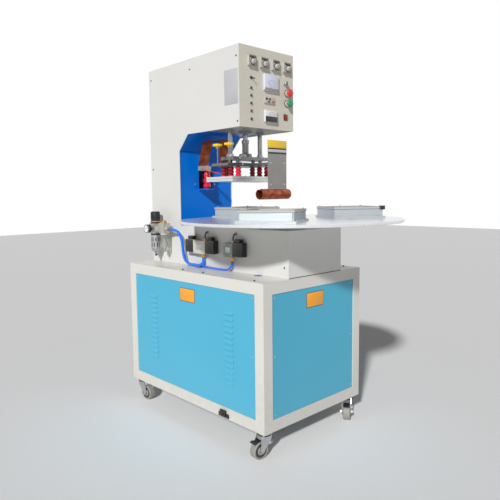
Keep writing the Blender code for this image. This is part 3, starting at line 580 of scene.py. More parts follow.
class Shape:
    """A mesh that is shaped with operators and then made a piece of the machine."""

    def __init__(self) -> None:
        """Start with an empty mesh."""
        self.mesh = bmesh.new()

    def block(self, low: Point, high: Point, rounding: float = 0.0, segments: int = 2,
              turn: Optional[Matrix] = None) -> "Shape":
        """Add a block.

        Args:
            low: its lowest corner.
            high: its highest corner.
            rounding: the radius of its edges.
            segments: faces across each rounded edge.
            turn: a matrix that moves it after it is made.

        Returns:
            The same shape.
        """
        low, high = Vector(low), Vector(high)
        place = Matrix.Translation((low + high) / 2) @ Matrix.Diagonal((*(high - low), 1.0))
        verts = bmesh.ops.create_cube(self.mesh, size=1.0, matrix=place)["verts"]
        if rounding:
            edges = list({edge for vert in verts for edge in vert.link_edges})
            made = bmesh.ops.bevel(self.mesh, geom=edges, offset=rounding, offset_type="OFFSET",
                                   affect="EDGES",
                                   segments=segments, profile=0.5, material=-1)
            verts = list({vert for face in made["faces"] for vert in face.verts})
        if turn:
            bmesh.ops.transform(self.mesh, matrix=turn, verts=verts)
        return self

    def drum(self, centre: Point, axis: Point, radius: float, low: float, high: float, rounding: float = 0.0,
             steps: int = 32, end_radius: Optional[float] = None) -> "Shape":
        """Add a round bar or disc with softened rims.

        Args:
            centre: a point on its axis.
            axis: the direction of its axis.
            radius: its radius at low.
            low: where it starts along the axis, from the centre.
            high: where it ends.
            rounding: the radius of its rims.
            steps: sides.
            end_radius: its radius at high, if not the same.

        Returns:
            The same shape.
        """
        turn = Vector(UP).rotation_difference(Vector(axis)).to_matrix().to_4x4()
        place = Matrix.Translation(Vector(centre)) @ turn @ Matrix.Translation((0, 0, (low + high) / 2))
        top = radius if end_radius is None else end_radius
        made = bmesh.ops.create_cone(self.mesh, cap_ends=True, cap_tris=False, segments=steps, radius1=radius,
                                     radius2=top, depth=high - low, matrix=place)
        if rounding:
            caps = {face for vert in made["verts"] for face in vert.link_faces if len(face.verts) == steps}
            rims = list({edge for face in caps for edge in face.edges})
            bmesh.ops.bevel(self.mesh, geom=rims, offset=rounding, offset_type="OFFSET", affect="EDGES",
                            segments=2, profile=0.5, material=-1)
        return self

    def lathe(self, profile: Sequence[tuple[float, float]], centre: Point, axis: Point = UP,
              steps: int = 40) -> "Shape":
        """Add a turned shape.

        Args:
            profile: (radius, height) points from one end to the other.
            centre: the point of its axis at height 0.
            axis: the direction of its axis.
            steps: sides.

        Returns:
            The same shape.
        """
        before = set(self.mesh.verts)
        chain = [self.mesh.verts.new((radius, 0, height)) for radius, height in profile]
        edges = [self.mesh.edges.new(pair) for pair in zip(chain, chain[1:])]
        if profile[0][0] > 0 and profile[-1][0] > 0:
            edges.append(self.mesh.edges.new((chain[-1], chain[0])))
        bmesh.ops.spin(self.mesh, geom=chain + edges, axis=UP, cent=(0, 0, 0), angle=math.tau, steps=steps,
                       use_merge=True)
        verts = [vert for vert in self.mesh.verts if vert not in before]
        bmesh.ops.remove_doubles(self.mesh, verts=verts, dist=1e-6)
        verts = [vert for vert in self.mesh.verts if vert not in before]
        turn = Vector(UP).rotation_difference(Vector(axis)).to_matrix().to_4x4()
        bmesh.ops.transform(self.mesh, matrix=Matrix.Translation(Vector(centre)) @ turn, verts=verts)
        return self

    def sweep(self, route: Sequence[Point], radius: float, steps: int = 12) -> "Shape":
        """Add a round tube along a route.

        Args:
            route: the points of its middle line.
            radius: its radius.
            steps: sides.

        Returns:
            The same shape.
        """
        points = [Vector(point) for point in route]
        loops = []
        side = None
        for index, point in enumerate(points):
            ahead = (points[min(index + 1, len(points) - 1)] - points[max(index - 1, 0)]).normalized()
            if side is None:
                side = ahead.orthogonal().normalized()
            side = (side - ahead * side.dot(ahead)).normalized()
            up = ahead.cross(side)
            basis = Matrix((side, up, ahead)).transposed().to_4x4()
            ring = bmesh.ops.create_circle(self.mesh, cap_ends=False, segments=steps, radius=radius,
                                           matrix=Matrix.Translation(point) @ basis)["verts"]
            edges = list({edge for vert in ring for edge in vert.link_edges})
            loops.append(edges)
        for first, second in zip(loops, loops[1:]):
            bmesh.ops.bridge_loops(self.mesh, edges=first + second)
        for loop in (loops[0], loops[-1]):
            bmesh.ops.holes_fill(self.mesh, edges=loop, sides=steps)
        return self

    def piece(self, name: str, finish: Finishes, body: Optional[str] = "machine") -> bpy.types.Object:
        """Make the shape a piece of the machine.

        Args:
            name: the piece's name.
            finish: its finish.
            body: the moving body that carries it; None leaves the piece on no body.

        Returns:
            The finished object.
        """
        bmesh.ops.recalc_face_normals(self.mesh, faces=self.mesh.faces)
        data = bpy.data.meshes.new(name)
        self.mesh.to_mesh(data)
        self.mesh.free()
        data.shade_smooth()
        data.set_sharp_from_angle(angle=SHARP_ANGLE)
        data.materials.append(finish.material)
        made = bpy.data.objects.new(name, data)
        bpy.context.scene.collection.objects.link(made)
        if body is not None:
            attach(made, body)
        log.info("piece %s rides on %s", name, body or "two bodies")
        return made


class Head(Enum):
    """The heads that screws come with."""

    PAN = "pan"
    HEX = "hex"
    SOCKET = "socket"


def spun(spot: Point, angle: float, axis: str) -> Matrix:
    """A matrix that turns by an angle about one axis and then moves to a spot."""
    return Matrix.Translation(spot) @ Matrix.Rotation(angle, 4, axis)


def add_screw(shape: Shape, spot: Point, outward: Point, radius: float, head: Head) -> None:
    """Add a screw head that sits on a surface.

    Args:
        shape: the shape that it joins.
        spot: where it sits.
        outward: the direction it faces.
        radius: the head's radius.
        head: the kind of head.
    """
    if head is Head.HEX:
        shape.drum(spot, outward, radius * 1.25, 0.0, radius * 0.2, radius * 0.05, steps=24)
        shape.drum(spot, outward, radius, radius * 0.15, radius * 0.95, radius * 0.1, steps=6)
    elif head is Head.SOCKET:
        profile = [
            (0, 0), (radius, 0), (radius, radius * 1.0), (radius * 0.92, radius * 1.1),
            (radius * 0.55, radius * 1.1),
            (radius * 0.5, radius * 0.4), (0, radius * 0.4),
        ]
        shape.lathe(profile, spot, outward, steps=18)
    else:
        profile = [
            (0, 0), (radius, 0), (radius * 0.95, radius * 0.3), (radius * 0.6, radius * 0.55),
            (radius * 0.25, radius * 0.6), (radius * 0.2, radius * 0.35), (0, radius * 0.35),
        ]
        shape.lathe(profile, spot, outward, steps=18)


def dress(node: str, finish: Finishes) -> None:
    """Give a CAD node its finish.

    Args:
        node: the node's name.
        finish: the finish.
    """
    slots = frame["nodes"][node].material_slots
    for slot in slots:
        slot.material = finish.material
    log.info("node %s dressed in %s", node, finish.name)


def smooth_line(points: Sequence[Point], count: int) -> list[Vector]:
    """Points of a smooth curve through a few given ones.

    Args:
        points: the given points.
        count: steps between two of them.

    Returns:
        The curve's points.
    """
    given = [Vector(point) for point in points]
    given = [given[0] * 2 - given[1]] + given + [given[-1] * 2 - given[-2]]
    line = []
    for a, b, c, d in zip(given, given[1:], given[2:], given[3:]):
        for step in range(count):
            t = step / count
            line.append(0.5 * (2 * b + (c - a) * t + (2 * a - 5 * b + 4 * c - d) * t * t
                               + (3 * b - a - 3 * c + d) * t ** 3))
    line.append(given[-2])
    return line


@dataclass
class Cabinet:
    """The blue-panelled cabinet with its frame, screws, bare plates and table fittings."""

    screw: float = 0.0035
    plate_t: float = 0.0012
    side_plate: tuple[float, float, float, float] = (0.442, 0.550, 0.593, 0.651)
    front_plate: tuple[float, float, float, float] = (-0.058, 0.054, 0.596, 0.657)
    plate_edge: float = 0.0022

    def build(self) -> None:
        """Dress the nodes and add the fittings."""
        dress("cabinet_frame", Finishes.WHITE)
        for side in ("left", "right", "front", "rear"):
            dress(side + "_panel", Finishes.SKY)
        self.plates()
        self.screws()
        self.table_fittings()

    def plates(self) -> None:
        """The two bare orange plates with their dark edges."""
        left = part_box("left_panel")[0][0] + PANEL_HOOD
        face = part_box("front_panel")[0][1]
        edge, sheet = self.plate_edge, self.plate_t
        for grow, t, name, finish in ((edge, sheet * 0.6, "plate_edges", Finishes.BLACK),
                                      (0.0, sheet, "orange_plates", Finishes.ORANGE)):
            near, far, low, high = self.side_plate
            shape = Shape().block((left - t, FRONT_Y + near - grow, low - grow),
                                  (left + 0.0002, FRONT_Y + far + grow, high + grow), 0.0003)
            near, far, low, high = self.front_plate
            shape.block((near - grow, face - t, low - grow), (far + grow, face + 0.0002, high + grow), 0.0003)
            shape.piece(name, finish)

    def screws(self) -> None:
        """Screws in the corners of the panels."""
        shape = Shape()
        inset = 0.016
        for side in ("left", "right"):
            low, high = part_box(side + "_panel")
            way = -1 if side == "left" else 1
            face = low[0] + PANEL_HOOD if side == "left" else high[0] - PANEL_HOOD
            for y in (low[1] + inset, high[1] - inset):
                for z in (low[2] + inset, (low[2] + high[2]) / 2, high[2] - inset):
                    add_screw(shape, (face, y, z), (way, 0, 0), self.screw, Head.PAN)
        for name, way in (("front_panel", -1), ("rear_panel", 1)):
            low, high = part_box(name)
            face = low[1] if way < 0 else high[1] - PANEL_HOOD
            for x in (low[0] + inset, high[0] - inset):
                for z in (low[2] + inset, (low[2] + high[2]) / 2, high[2] - inset):
                    add_screw(shape, (x, face, z), (0, way, 0), self.screw, Head.PAN)
        shape.piece("panel_screws", Finishes.ZINC)

    def table_fittings(self) -> None:
        """A small plate and screws on the table beside the pedestal, and the latch on the left rail."""
        left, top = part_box("cabinet_frame")[0][0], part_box("cabinet_frame")[1][2]
        plate = Shape().block((-0.198, FRONT_Y + 0.15, top - 0.0006), (-0.1785, FRONT_Y + 0.18, top + 0.0022),
                              0.0006)
        plate.piece("table_plate", Finishes.TUBE)
        latch = Shape().block((left - 0.007, FRONT_Y + 0.212, 0.118), (left + 0.0002, FRONT_Y + 0.276, 0.136),
                              0.0016)
        latch.block((left - 0.013, FRONT_Y + 0.226, 0.126), (left - 0.004, FRONT_Y + 0.262, 0.152), 0.002)
        latch.drum((left - 0.007, FRONT_Y + 0.244, 0.131), LEFTWARD, 0.005, 0.0, 0.009, 0.0008, 20)
        latch.piece("rail_latch", Finishes.BLACK)
        shape = Shape()
        for x, y in ((-0.3, 0.075), (-0.3, 0.555), (-0.3, 0.404), (0.3, 0.075), (0.3, 0.404), (0.3, 0.555)):
            add_screw(shape, (x, FRONT_Y + y, top), UP, 0.004, Head.SOCKET)
        shape.piece("table_screws", Finishes.DARK)


@dataclass
class Casters:
    """Zinc forks with grey tyres, dark hubs, axle nuts and dust rings, and brake pedals in front."""

    names: tuple[str, ...] = ("front_left", "front_right", "rear_left", "rear_right")
    wheel_half: float = 0.017
    fork_half: float = 0.022
    hub_sink: float = 0.003

    def build(self) -> None:
        """Dress and finish each caster."""
        for name in self.names:
            dress("caster_fork_" + name, Finishes.ZINC)
            dress("caster_wheel_" + name, Finishes.TYRE)
            self.wheel(name)
            self.fork(name)

    @staticmethod
    def joint(name: str) -> dict:
        """The record of one joint.

        Args:
            name: the joint's name.

        Returns:
            Its entry in the frame.
        """
        return next(item for item in frame["joints"] if item["name"] == name)

    def wheel(self, name: str) -> None:
        """Hub discs on both faces of a wheel.

        Args:
            name: the caster's place.
        """
        roll = self.joint("roll_" + name)
        centre, axis = Vector(roll["pos_m"]), Vector(roll["axis"])
        floor = self.wheel_half - self.hub_sink
        shape = Shape()
        profile = [
            (0.0058, floor - 0.0002), (0.0150, floor - 0.0002), (0.0165, floor + 0.0008),
            (0.0265, floor + 0.0008),
            (0.0278, floor + 0.0022), (0.0286, floor + 0.0008), (0.0286, floor - 0.002),
            (0.0058, floor - 0.002),
        ]
        for way in (1, -1):
            shape.lathe(profile, centre, axis * way, steps=36)
        shape.piece("wheel_hub_" + name, Finishes.HUB, "wheel_" + name)

    def fork(self, name: str) -> None:
        """Axle nuts, the swivel's dust ring and, on the front casters, a brake pedal.

        Args:
            name: the caster's place.
        """
        roll, swivel = self.joint("roll_" + name), self.joint("swivel_" + name)
        centre, axis = Vector(roll["pos_m"]), Vector(roll["axis"])
        pivot = Vector(swivel["pos_m"])
        body = "swivel_" + name
        nuts = Shape()
        for way in (1, -1):
            nuts.drum(centre, axis * way, 0.0098, self.fork_half + 0.0001, self.fork_half + 0.0016, 0.0003,
                      24)
            nuts.drum(centre, axis * way, 0.0082, self.fork_half + 0.0012, self.fork_half + 0.0065, 0.0006, 6)
        nuts.piece("axle_nuts_" + name, Finishes.ZINC, body)
        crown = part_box("caster_fork_" + name)[1][2]
        ring = [(0.0272, -0.0145), (0.0285, -0.0135), (0.0285, -0.0105), (0.0272, -0.0095)]
        dust = Shape().lathe(ring, (pivot.x, pivot.y, crown), steps=36)
        dust.piece("dust_ring_" + name, Finishes.DARK, body)
        if not name.startswith("front"):
            return
        trail = Vector((centre.x - pivot.x, centre.y - pivot.y, 0)).normalized()
        turn = Matrix((trail, Vector(UP).cross(trail), UP)).transposed().to_4x4()
        place = Matrix.Translation((pivot.x, pivot.y, crown - 0.024)) @ turn @ Matrix.Rotation(0.22, 4, "Y")
        pedal = Shape().block((0.03, -0.0135, 0.0), (0.066, 0.0135, 0.0028), 0.001, turn=place)
        pedal.block((0.052, -0.0155, 0.001), (0.067, 0.0155, 0.0065), 0.0018, turn=place)
        pedal.piece("brake_pedal_" + name, Finishes.BLACK, body)


@dataclass
class Housing:
    """The C-shaped sheet housing, its throat and its bare label."""

    screw: float = 0.004

    def build(self) -> None:
        """Dress the housing and add its screws and label."""
        for node in ("housing_left", "housing_right", "housing_cover", "pedestal_cover"):
            dress(node, Finishes.HOUSING)
        dress("control_panel", Finishes.CONSOLE)
        dress("throat_liner", Finishes.DEEP_BLUE)
        # The head's underside is dressed grey as painted shade.
        dress("head_floor", Finishes.UNDERSIDE_SHADE_GREY)
        self.side_screws()
        self.label()

    def side_screws(self) -> None:
        """Screws on both side sheets and by the feed opening, and a thin dark strip of painted shadow along
        the foot of the pedestal's front.
        """
        shape = Shape()
        for way, side in ((-1, "housing_left"), (1, "housing_right")):
            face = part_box(side)[0][0] if way < 0 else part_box(side)[1][0]
            for y, z in ((0.300, 1.683), (0.295, 1.403), (0.024, 0.777), (0.960, 0.760), (0.960, 1.22),
                         (0.960, 1.683),
                         (0.63, 1.683), (0.70, 0.760)):
                add_screw(shape, (face, FRONT_Y + y, z), (way, 0, 0), self.screw, Head.PAN)
        shape.piece("housing_screws", Finishes.DARK)
        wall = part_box("throat_liner")[1][1] - 0.002
        pair = Shape()
        for x in (-0.077, 0.054):
            add_screw(pair, (x, wall, 1.138), FORWARD, 0.0045, Head.PAN)
        pair.piece("opening_screws", Finishes.ZINC)
        low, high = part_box("pedestal_cover")
        # Painted shadow: a thin dark strip on the pedestal's front at its foot, standing for the shade of the
        # gap where the pedestal meets the table.
        shadow_strip = Shape().block((low[0] + 0.002, FRONT_Y - 0.0004, low[2] + 0.0001),
                            (high[0] - 0.002, FRONT_Y + 0.001, low[2] + 0.003))
        shadow_strip.piece("pedestal_foot_painted_shadow", Finishes.DARK)

    def label(self) -> None:
        """The bare silver label on the left side of the head."""
        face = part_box("housing_left")[0][0]
        shape = Shape().block((face - 0.0009, FRONT_Y + 0.29, 1.479), (face + 0.0002, FRONT_Y + 0.38, 1.631),
                              0.0004)
        shape.piece("bare_label", Finishes.SILVER_PLATE)


@dataclass
class Console:
    """Timers, meters, lamps, knobs and buttons on the head's front."""

    face: float = FRONT_Y + 0.282
    lamps: tuple[tuple[float, bool], ...] = ((1.552, True), (1.519, True), (1.485, True), (1.452, False),
                                             (1.417, True))
    lamp_x: float = -0.105

    def build(self) -> None:
        """Dress the instruments and add what is on them."""
        for number in range(1, 5):
            dress("timer_%d" % number, Finishes.TIMER)
            self.timer(number)
        dress("plate_meter", Finishes.METER)
        dress("grid_meter", Finishes.METER)
        dress("stop_button", Finishes.RED_CAP)
        dress("start_button", Finishes.GREEN_CAP)
        self.meter("plate_meter", 0.15)
        self.meter("grid_meter", 0.46)
        self.pilot_lamps()
        self.counter()
        self.toggle()
        self.selector()
        self.rocker()
        self.button_rings()

    def timer(self, number: int) -> None:
        """The dial, knob and window of one timer.

        Args:
            number: the timer's number.
        """
        low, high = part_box("timer_%d" % number)
        x, z, face = (low[0] + high[0]) / 2, (low[2] + high[2]) / 2, low[1]
        dark = Shape()
        dark.block((x - 0.019, face - 0.0004, z + 0.010), (x + 0.019, face + 0.0008, z + 0.019), 0.0003)
        dark.lathe([(0.0120, -0.0008), (0.0156, -0.0008), (0.0156, 0.0006), (0.0120, 0.0006)],
                   (x, face, z - 0.005),
                   FORWARD)
        for tick in range(11):
            turn = math.radians(-140 + tick * 28)
            spot = Vector((x + 0.0172 * math.sin(turn), face, z - 0.005 + 0.0172 * math.cos(turn)))
            dark.drum(spot, FORWARD, 0.0006, -0.0003, 0.0004, steps=8)
        thin, reach = 0.0007, 0.0222
        for way in (-1, 1):
            across, up = x + way * 0.0218, z + way * 0.0215
            for low, high in (((across - thin, z - reach), (across + thin, z + reach)),
                              ((x - reach, up - thin), (x + reach, up + thin))):
                dark.block((low[0], face - 0.0003, low[1]), (high[0], face + 0.001, high[1]))
        dark.drum((x, face, z - 0.005), FORWARD, 0.0034, 0.0104, 0.0112, 0.0003, 20)
        dark.piece("timer_marks_%d" % number, Finishes.BLACK)
        knob = [
            (0, 0), (0.0115, 0), (0.0115, 0.004), (0.0085, 0.0052), (0.0078, 0.0098), (0.0068, 0.0108),
            (0, 0.0108),
        ]
        turned = Shape().lathe(knob, (x, face, z - 0.005), FORWARD)
        turned.block((x - 0.0009, face - 0.0116, z - 0.0115), (x + 0.0009, face - 0.004, z + 0.0015), 0.0004)
        turned.piece("timer_knob_%d" % number, Finishes.TIMER)

    def meter(self, node: str, base_share: float) -> None:
        """The card, scale, needle and dark base of a meter.

        Args:
            node: the meter's node.
            base_share: the share of its height that the base covers.
        """
        low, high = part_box(node)
        width, height = high[0] - low[0], high[2] - low[2]
        x, face = (low[0] + high[0]) / 2, low[1]
        edge = low[2] + height * base_share
        base = Shape().block((low[0] + 0.001, face - 0.0012, low[2] + 0.001),
                             (high[0] - 0.001, face + 0.002, edge),
                             0.0008)
        base.piece(node + "_base", Finishes.BLACK if base_share > 0.4 else Finishes.METER_GREY)
        card = Shape().block((low[0] + 0.005, face - 0.0003, edge + 0.003),
                             (high[0] - 0.005, face + 0.001, high[2] - 0.005),
                             0.0004)
        # The upper meter's card carries the lilac tint of painted glare; the lower meter's card is plain
        # white.
        card.piece(node + "_card", Finishes.DIAL_GLARE_TINT if base_share < 0.4 else Finishes.DIAL)
        marks = Shape()
        pivot = Vector((x, face, edge - 0.004))
        reach = min(width * 0.42, high[2] - 0.011 - pivot.z)
        for tick in range(13):
            turn = math.radians(-48 + tick * 8)
            spot = pivot + Vector((reach * math.sin(turn), -0.0003, reach * math.cos(turn)))
            size = 0.0011 if tick % 3 else 0.0022
            turned = spun(spot, turn, "Y")
            marks.block((-0.0004, -0.0002, -size), (0.0004, 0.0004, size), turn=turned)
        needle = spun(pivot + Vector((0, -0.0007, 0)), math.radians(-38), "Y")
        marks.block((-0.0003, -0.0002, 0.004), (0.0003, 0.0003, reach * 0.94), turn=needle)
        marks.piece(node + "_scale", Finishes.BLACK)

    def pilot_lamps(self) -> None:
        """Five pilot lamps with bright rims."""
        rims, green, red = Shape(), Shape(), Shape()
        for z, is_green in self.lamps:
            spot = (self.lamp_x, self.face, z)
            rims.lathe([(0.0068, -0.0002), (0.0086, -0.0002), (0.0082, 0.0014), (0.0068, 0.0018)], spot,
                       FORWARD, 28)
            lens = [(0, 0.0), (0.0067, 0.0), (0.0067, 0.0026), (0.0055, 0.0052), (0.0028, 0.0066),
                    (0, 0.0068)]
            (green if is_green else red).lathe(lens, spot, FORWARD, 24)
        rims.piece("lamp_rims", Finishes.ZINC)
        green.piece("green_lamps", Finishes.LENS_GREEN)
        red.piece("red_lamp", Finishes.LENS_RED)

    def counter(self) -> None:
        """The counter with its dark window and red reset key."""
        face = self.face
        body = Shape().block((-0.026, face - 0.007, 1.494), (0.043, face - 0.0002, 1.521), 0.0015)
        body.piece("counter_case", Finishes.TIMER)
        window = Shape()
        for left, right, low, high in ((-0.019, -0.004, 1.509, 1.518), (0.003, 0.015, 1.509, 1.518),
                                       (-0.004, 0.009, 1.497, 1.505)):
            window.block((left, face - 0.0076, low), (right, face - 0.0066, high), 0.0004)
        window.piece("counter_window", Finishes.BLACK)
        key = Shape().block((0.024, face - 0.0095, 1.498), (0.035, face - 0.0068, 1.507), 0.001)
        key.piece("counter_key", Finishes.RED_CAP)

    def toggle(self) -> None:
        """The toggle switch at the upper left."""
        spot = Vector((-0.104, self.face, 1.596))
        shape = Shape().drum(spot, FORWARD, 0.0075, -0.0002, 0.0022, 0.0004, steps=6)
        shape.drum(spot, FORWARD, 0.0052, 0.001, 0.0065, 0.0005, steps=24)
        shape.drum(spot + Vector((0, -0.0055, 0)), (0.35, -0.85, -0.4), 0.0016, 0.0, 0.016, 0.0005, 16,
                   0.0028)
        shape.piece("toggle_switch", Finishes.HUB)

    def selector(self) -> None:
        """The round selector knob at the upper right."""
        spot = Vector((0.118, self.face, 1.596))
        ring = Shape().lathe([(0, 0), (0.0125, 0), (0.0125, 0.0015), (0.0115, 0.0022), (0, 0.0022)], spot,
                             FORWARD)
        ring.piece("selector_scale", Finishes.ZINC)
        knob = [(0, 0.002), (0.0098, 0.002), (0.0092, 0.0125), (0.0082, 0.0138), (0, 0.0138)]
        shape = Shape().lathe(knob, spot, FORWARD)
        shape.piece("selector_knob", Finishes.ZINC)
        pointer = Shape().block((spot.x - 0.0022, spot.y - 0.0168, spot.z - 0.009),
                                (spot.x + 0.0022, spot.y - 0.0125, spot.z + 0.009), 0.0008)
        pointer.piece("selector_pointer", Finishes.BLACK)

    def rocker(self) -> None:
        """The red rocker switch at the lower right."""
        face = self.face
        frame_shape = Shape().block((0.1075, face - 0.0028, 1.4265), (0.1325, face - 0.0002, 1.4555), 0.0012)
        frame_shape.piece("rocker_frame", Finishes.BLACK)
        tilt = spun((0.12, face - 0.003, 1.441), math.radians(9), "X")
        rocker = Shape().block((-0.0095, -0.0042, -0.0118), (0.0095, 0.001, 0.0118), 0.0012, turn=tilt)
        rocker.piece("rocker_key", Finishes.ROCKER_RED)

    def button_rings(self) -> None:
        """Dark threaded rings under the two mushroom buttons."""
        for node in ("stop_button", "start_button"):
            low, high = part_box(node)
            spot = ((low[0] + high[0]) / 2, self.face, (low[2] + high[2]) / 2)
            ring = [(0.0152, -0.0002), (0.0174, -0.0002), (0.0174, 0.0022), (0.0166, 0.003), (0.0152, 0.003)]
            Shape().lathe(ring, spot, FORWARD).piece(node + "_ring", Finishes.HUB)


@dataclass
class Turntable:
    """The indexing disc and its tray fixtures with their white outer plates."""

    trays: int = 3
    rest_turn: float = math.radians(-1.4)
    inner: float = 0.171
    depth: float = 0.222
    half: float = 0.1085
    rim: float = 0.011
    lip: float = 0.0025
    lid: float = 0.008
    wall: float = 0.022
    face_half: float = 0.103
    face_t: float = 0.005

    def build(self) -> None:
        """Dress the disc and trays and finish each fixture."""
        dress("turntable_disc", Finishes.DISC)
        low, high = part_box("turntable_disc")
        centre = Vector(((low[0] + high[0]) / 2, (low[1] + high[1]) / 2, 0))
        for number in range(1, self.trays + 1):
            dress("tray_fixture_%d" % number, Finishes.TRAY)
            angle = math.radians(90) + self.rest_turn + (number - 1) * math.tau / self.trays
            place = spun(centre, angle, "Z")
            self.fixture(number, place)

    def fixture(self, number: int, place: Matrix) -> None:
        """Outer plate, lid line, gasket, screws and stop of one fixture.

        Args:
            number: the fixture's number.
            place: the matrix from its own frame, with X outwards, to the machine's.
        """
        base, top = (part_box("tray_fixture_%d" % number)[side][2] for side in (0, 1))
        inner, outer, half = self.inner, self.inner + self.depth, self.half
        plate = Shape().block((outer + self.face_t - 0.0004, -self.face_half - 0.0006, base + 0.0085),
                              (outer + self.face_t + 0.0012, self.face_half + 0.0006,
                               top - self.lid - 0.0015), 0.0006,
                              turn=place)
        plate.piece("fixture_plate_%d" % number, Finishes.FIXTURE_WHITE, "turntable")
        line = top - self.lid
        seam = Shape()
        for low, high in (((inner - 0.0004, -half - 0.0004), (outer + 0.0004, -half + 0.002)),
                          ((inner - 0.0004, half - 0.002), (outer + 0.0004, half + 0.0004)),
                          ((inner - 0.0004, -half), (inner + 0.002, half)),
                          ((outer - 0.002, -half), (outer + 0.0004, half))):
            seam.block((*low, line - 0.0016), (*high, line + 0.0001), turn=place)
        seam.piece("fixture_seam_%d" % number, Finishes.DARK, "turntable")
        grown, wall = half + self.lip, self.wall
        card = Shape()
        for low, high in (((inner - self.lip, -grown), (outer + self.lip, -grown + wall)),
                          ((inner - self.lip, grown - wall), (outer + self.lip, grown)),
                          ((inner - self.lip, -grown + wall), (inner - self.lip + wall, grown - wall)),
                          ((outer + self.lip - wall, -grown + wall), (outer + self.lip, grown - wall))):
            card.block((low[0] + 0.0004, low[1] + 0.0004, top - 0.0002),
                       (high[0] - 0.0004, high[1] - 0.0004, top + 0.0014),
                       0.0004, turn=place)
        card.piece("fixture_gasket_%d" % number, Finishes.TAN, "turntable")
        screws = Shape()
        for x in (inner + 0.009, (inner + outer) / 2, outer - 0.009):
            for y in (-half + 0.009, half - 0.009):
                add_screw(screws, place @ Vector((x, y, top + 0.0013)), UP, 0.0034, Head.SOCKET)
        outward = place.to_3x3() @ Vector((1, 0, 0))
        for y in (-self.face_half + 0.012, self.face_half - 0.012):
            for z in (base + 0.014, line - 0.007):
                spot = place @ Vector((outer + self.face_t + 0.0011, y, z))
                add_screw(screws, spot, outward, 0.0026, Head.PAN)
        for way in (-1, 1):
            for x in (inner + 0.02, (inner + outer) / 2, outer - 0.02):
                spot = place @ Vector((x, way * (half + 0.0058), base + 0.009))
                add_screw(screws, spot, UP, 0.0036, Head.HEX)
        screws.piece("fixture_screws_%d" % number, Finishes.ZINC, "turntable")
        if number == self.trays:
            stop = Shape().block((outer - 0.012, -grown - 0.004, top - 0.012),
                                 (outer + 0.011, -grown + 0.012, top + 0.005),
                                 0.0012, turn=place)
            stop.piece("fixture_stop", Finishes.BLACK, "turntable")


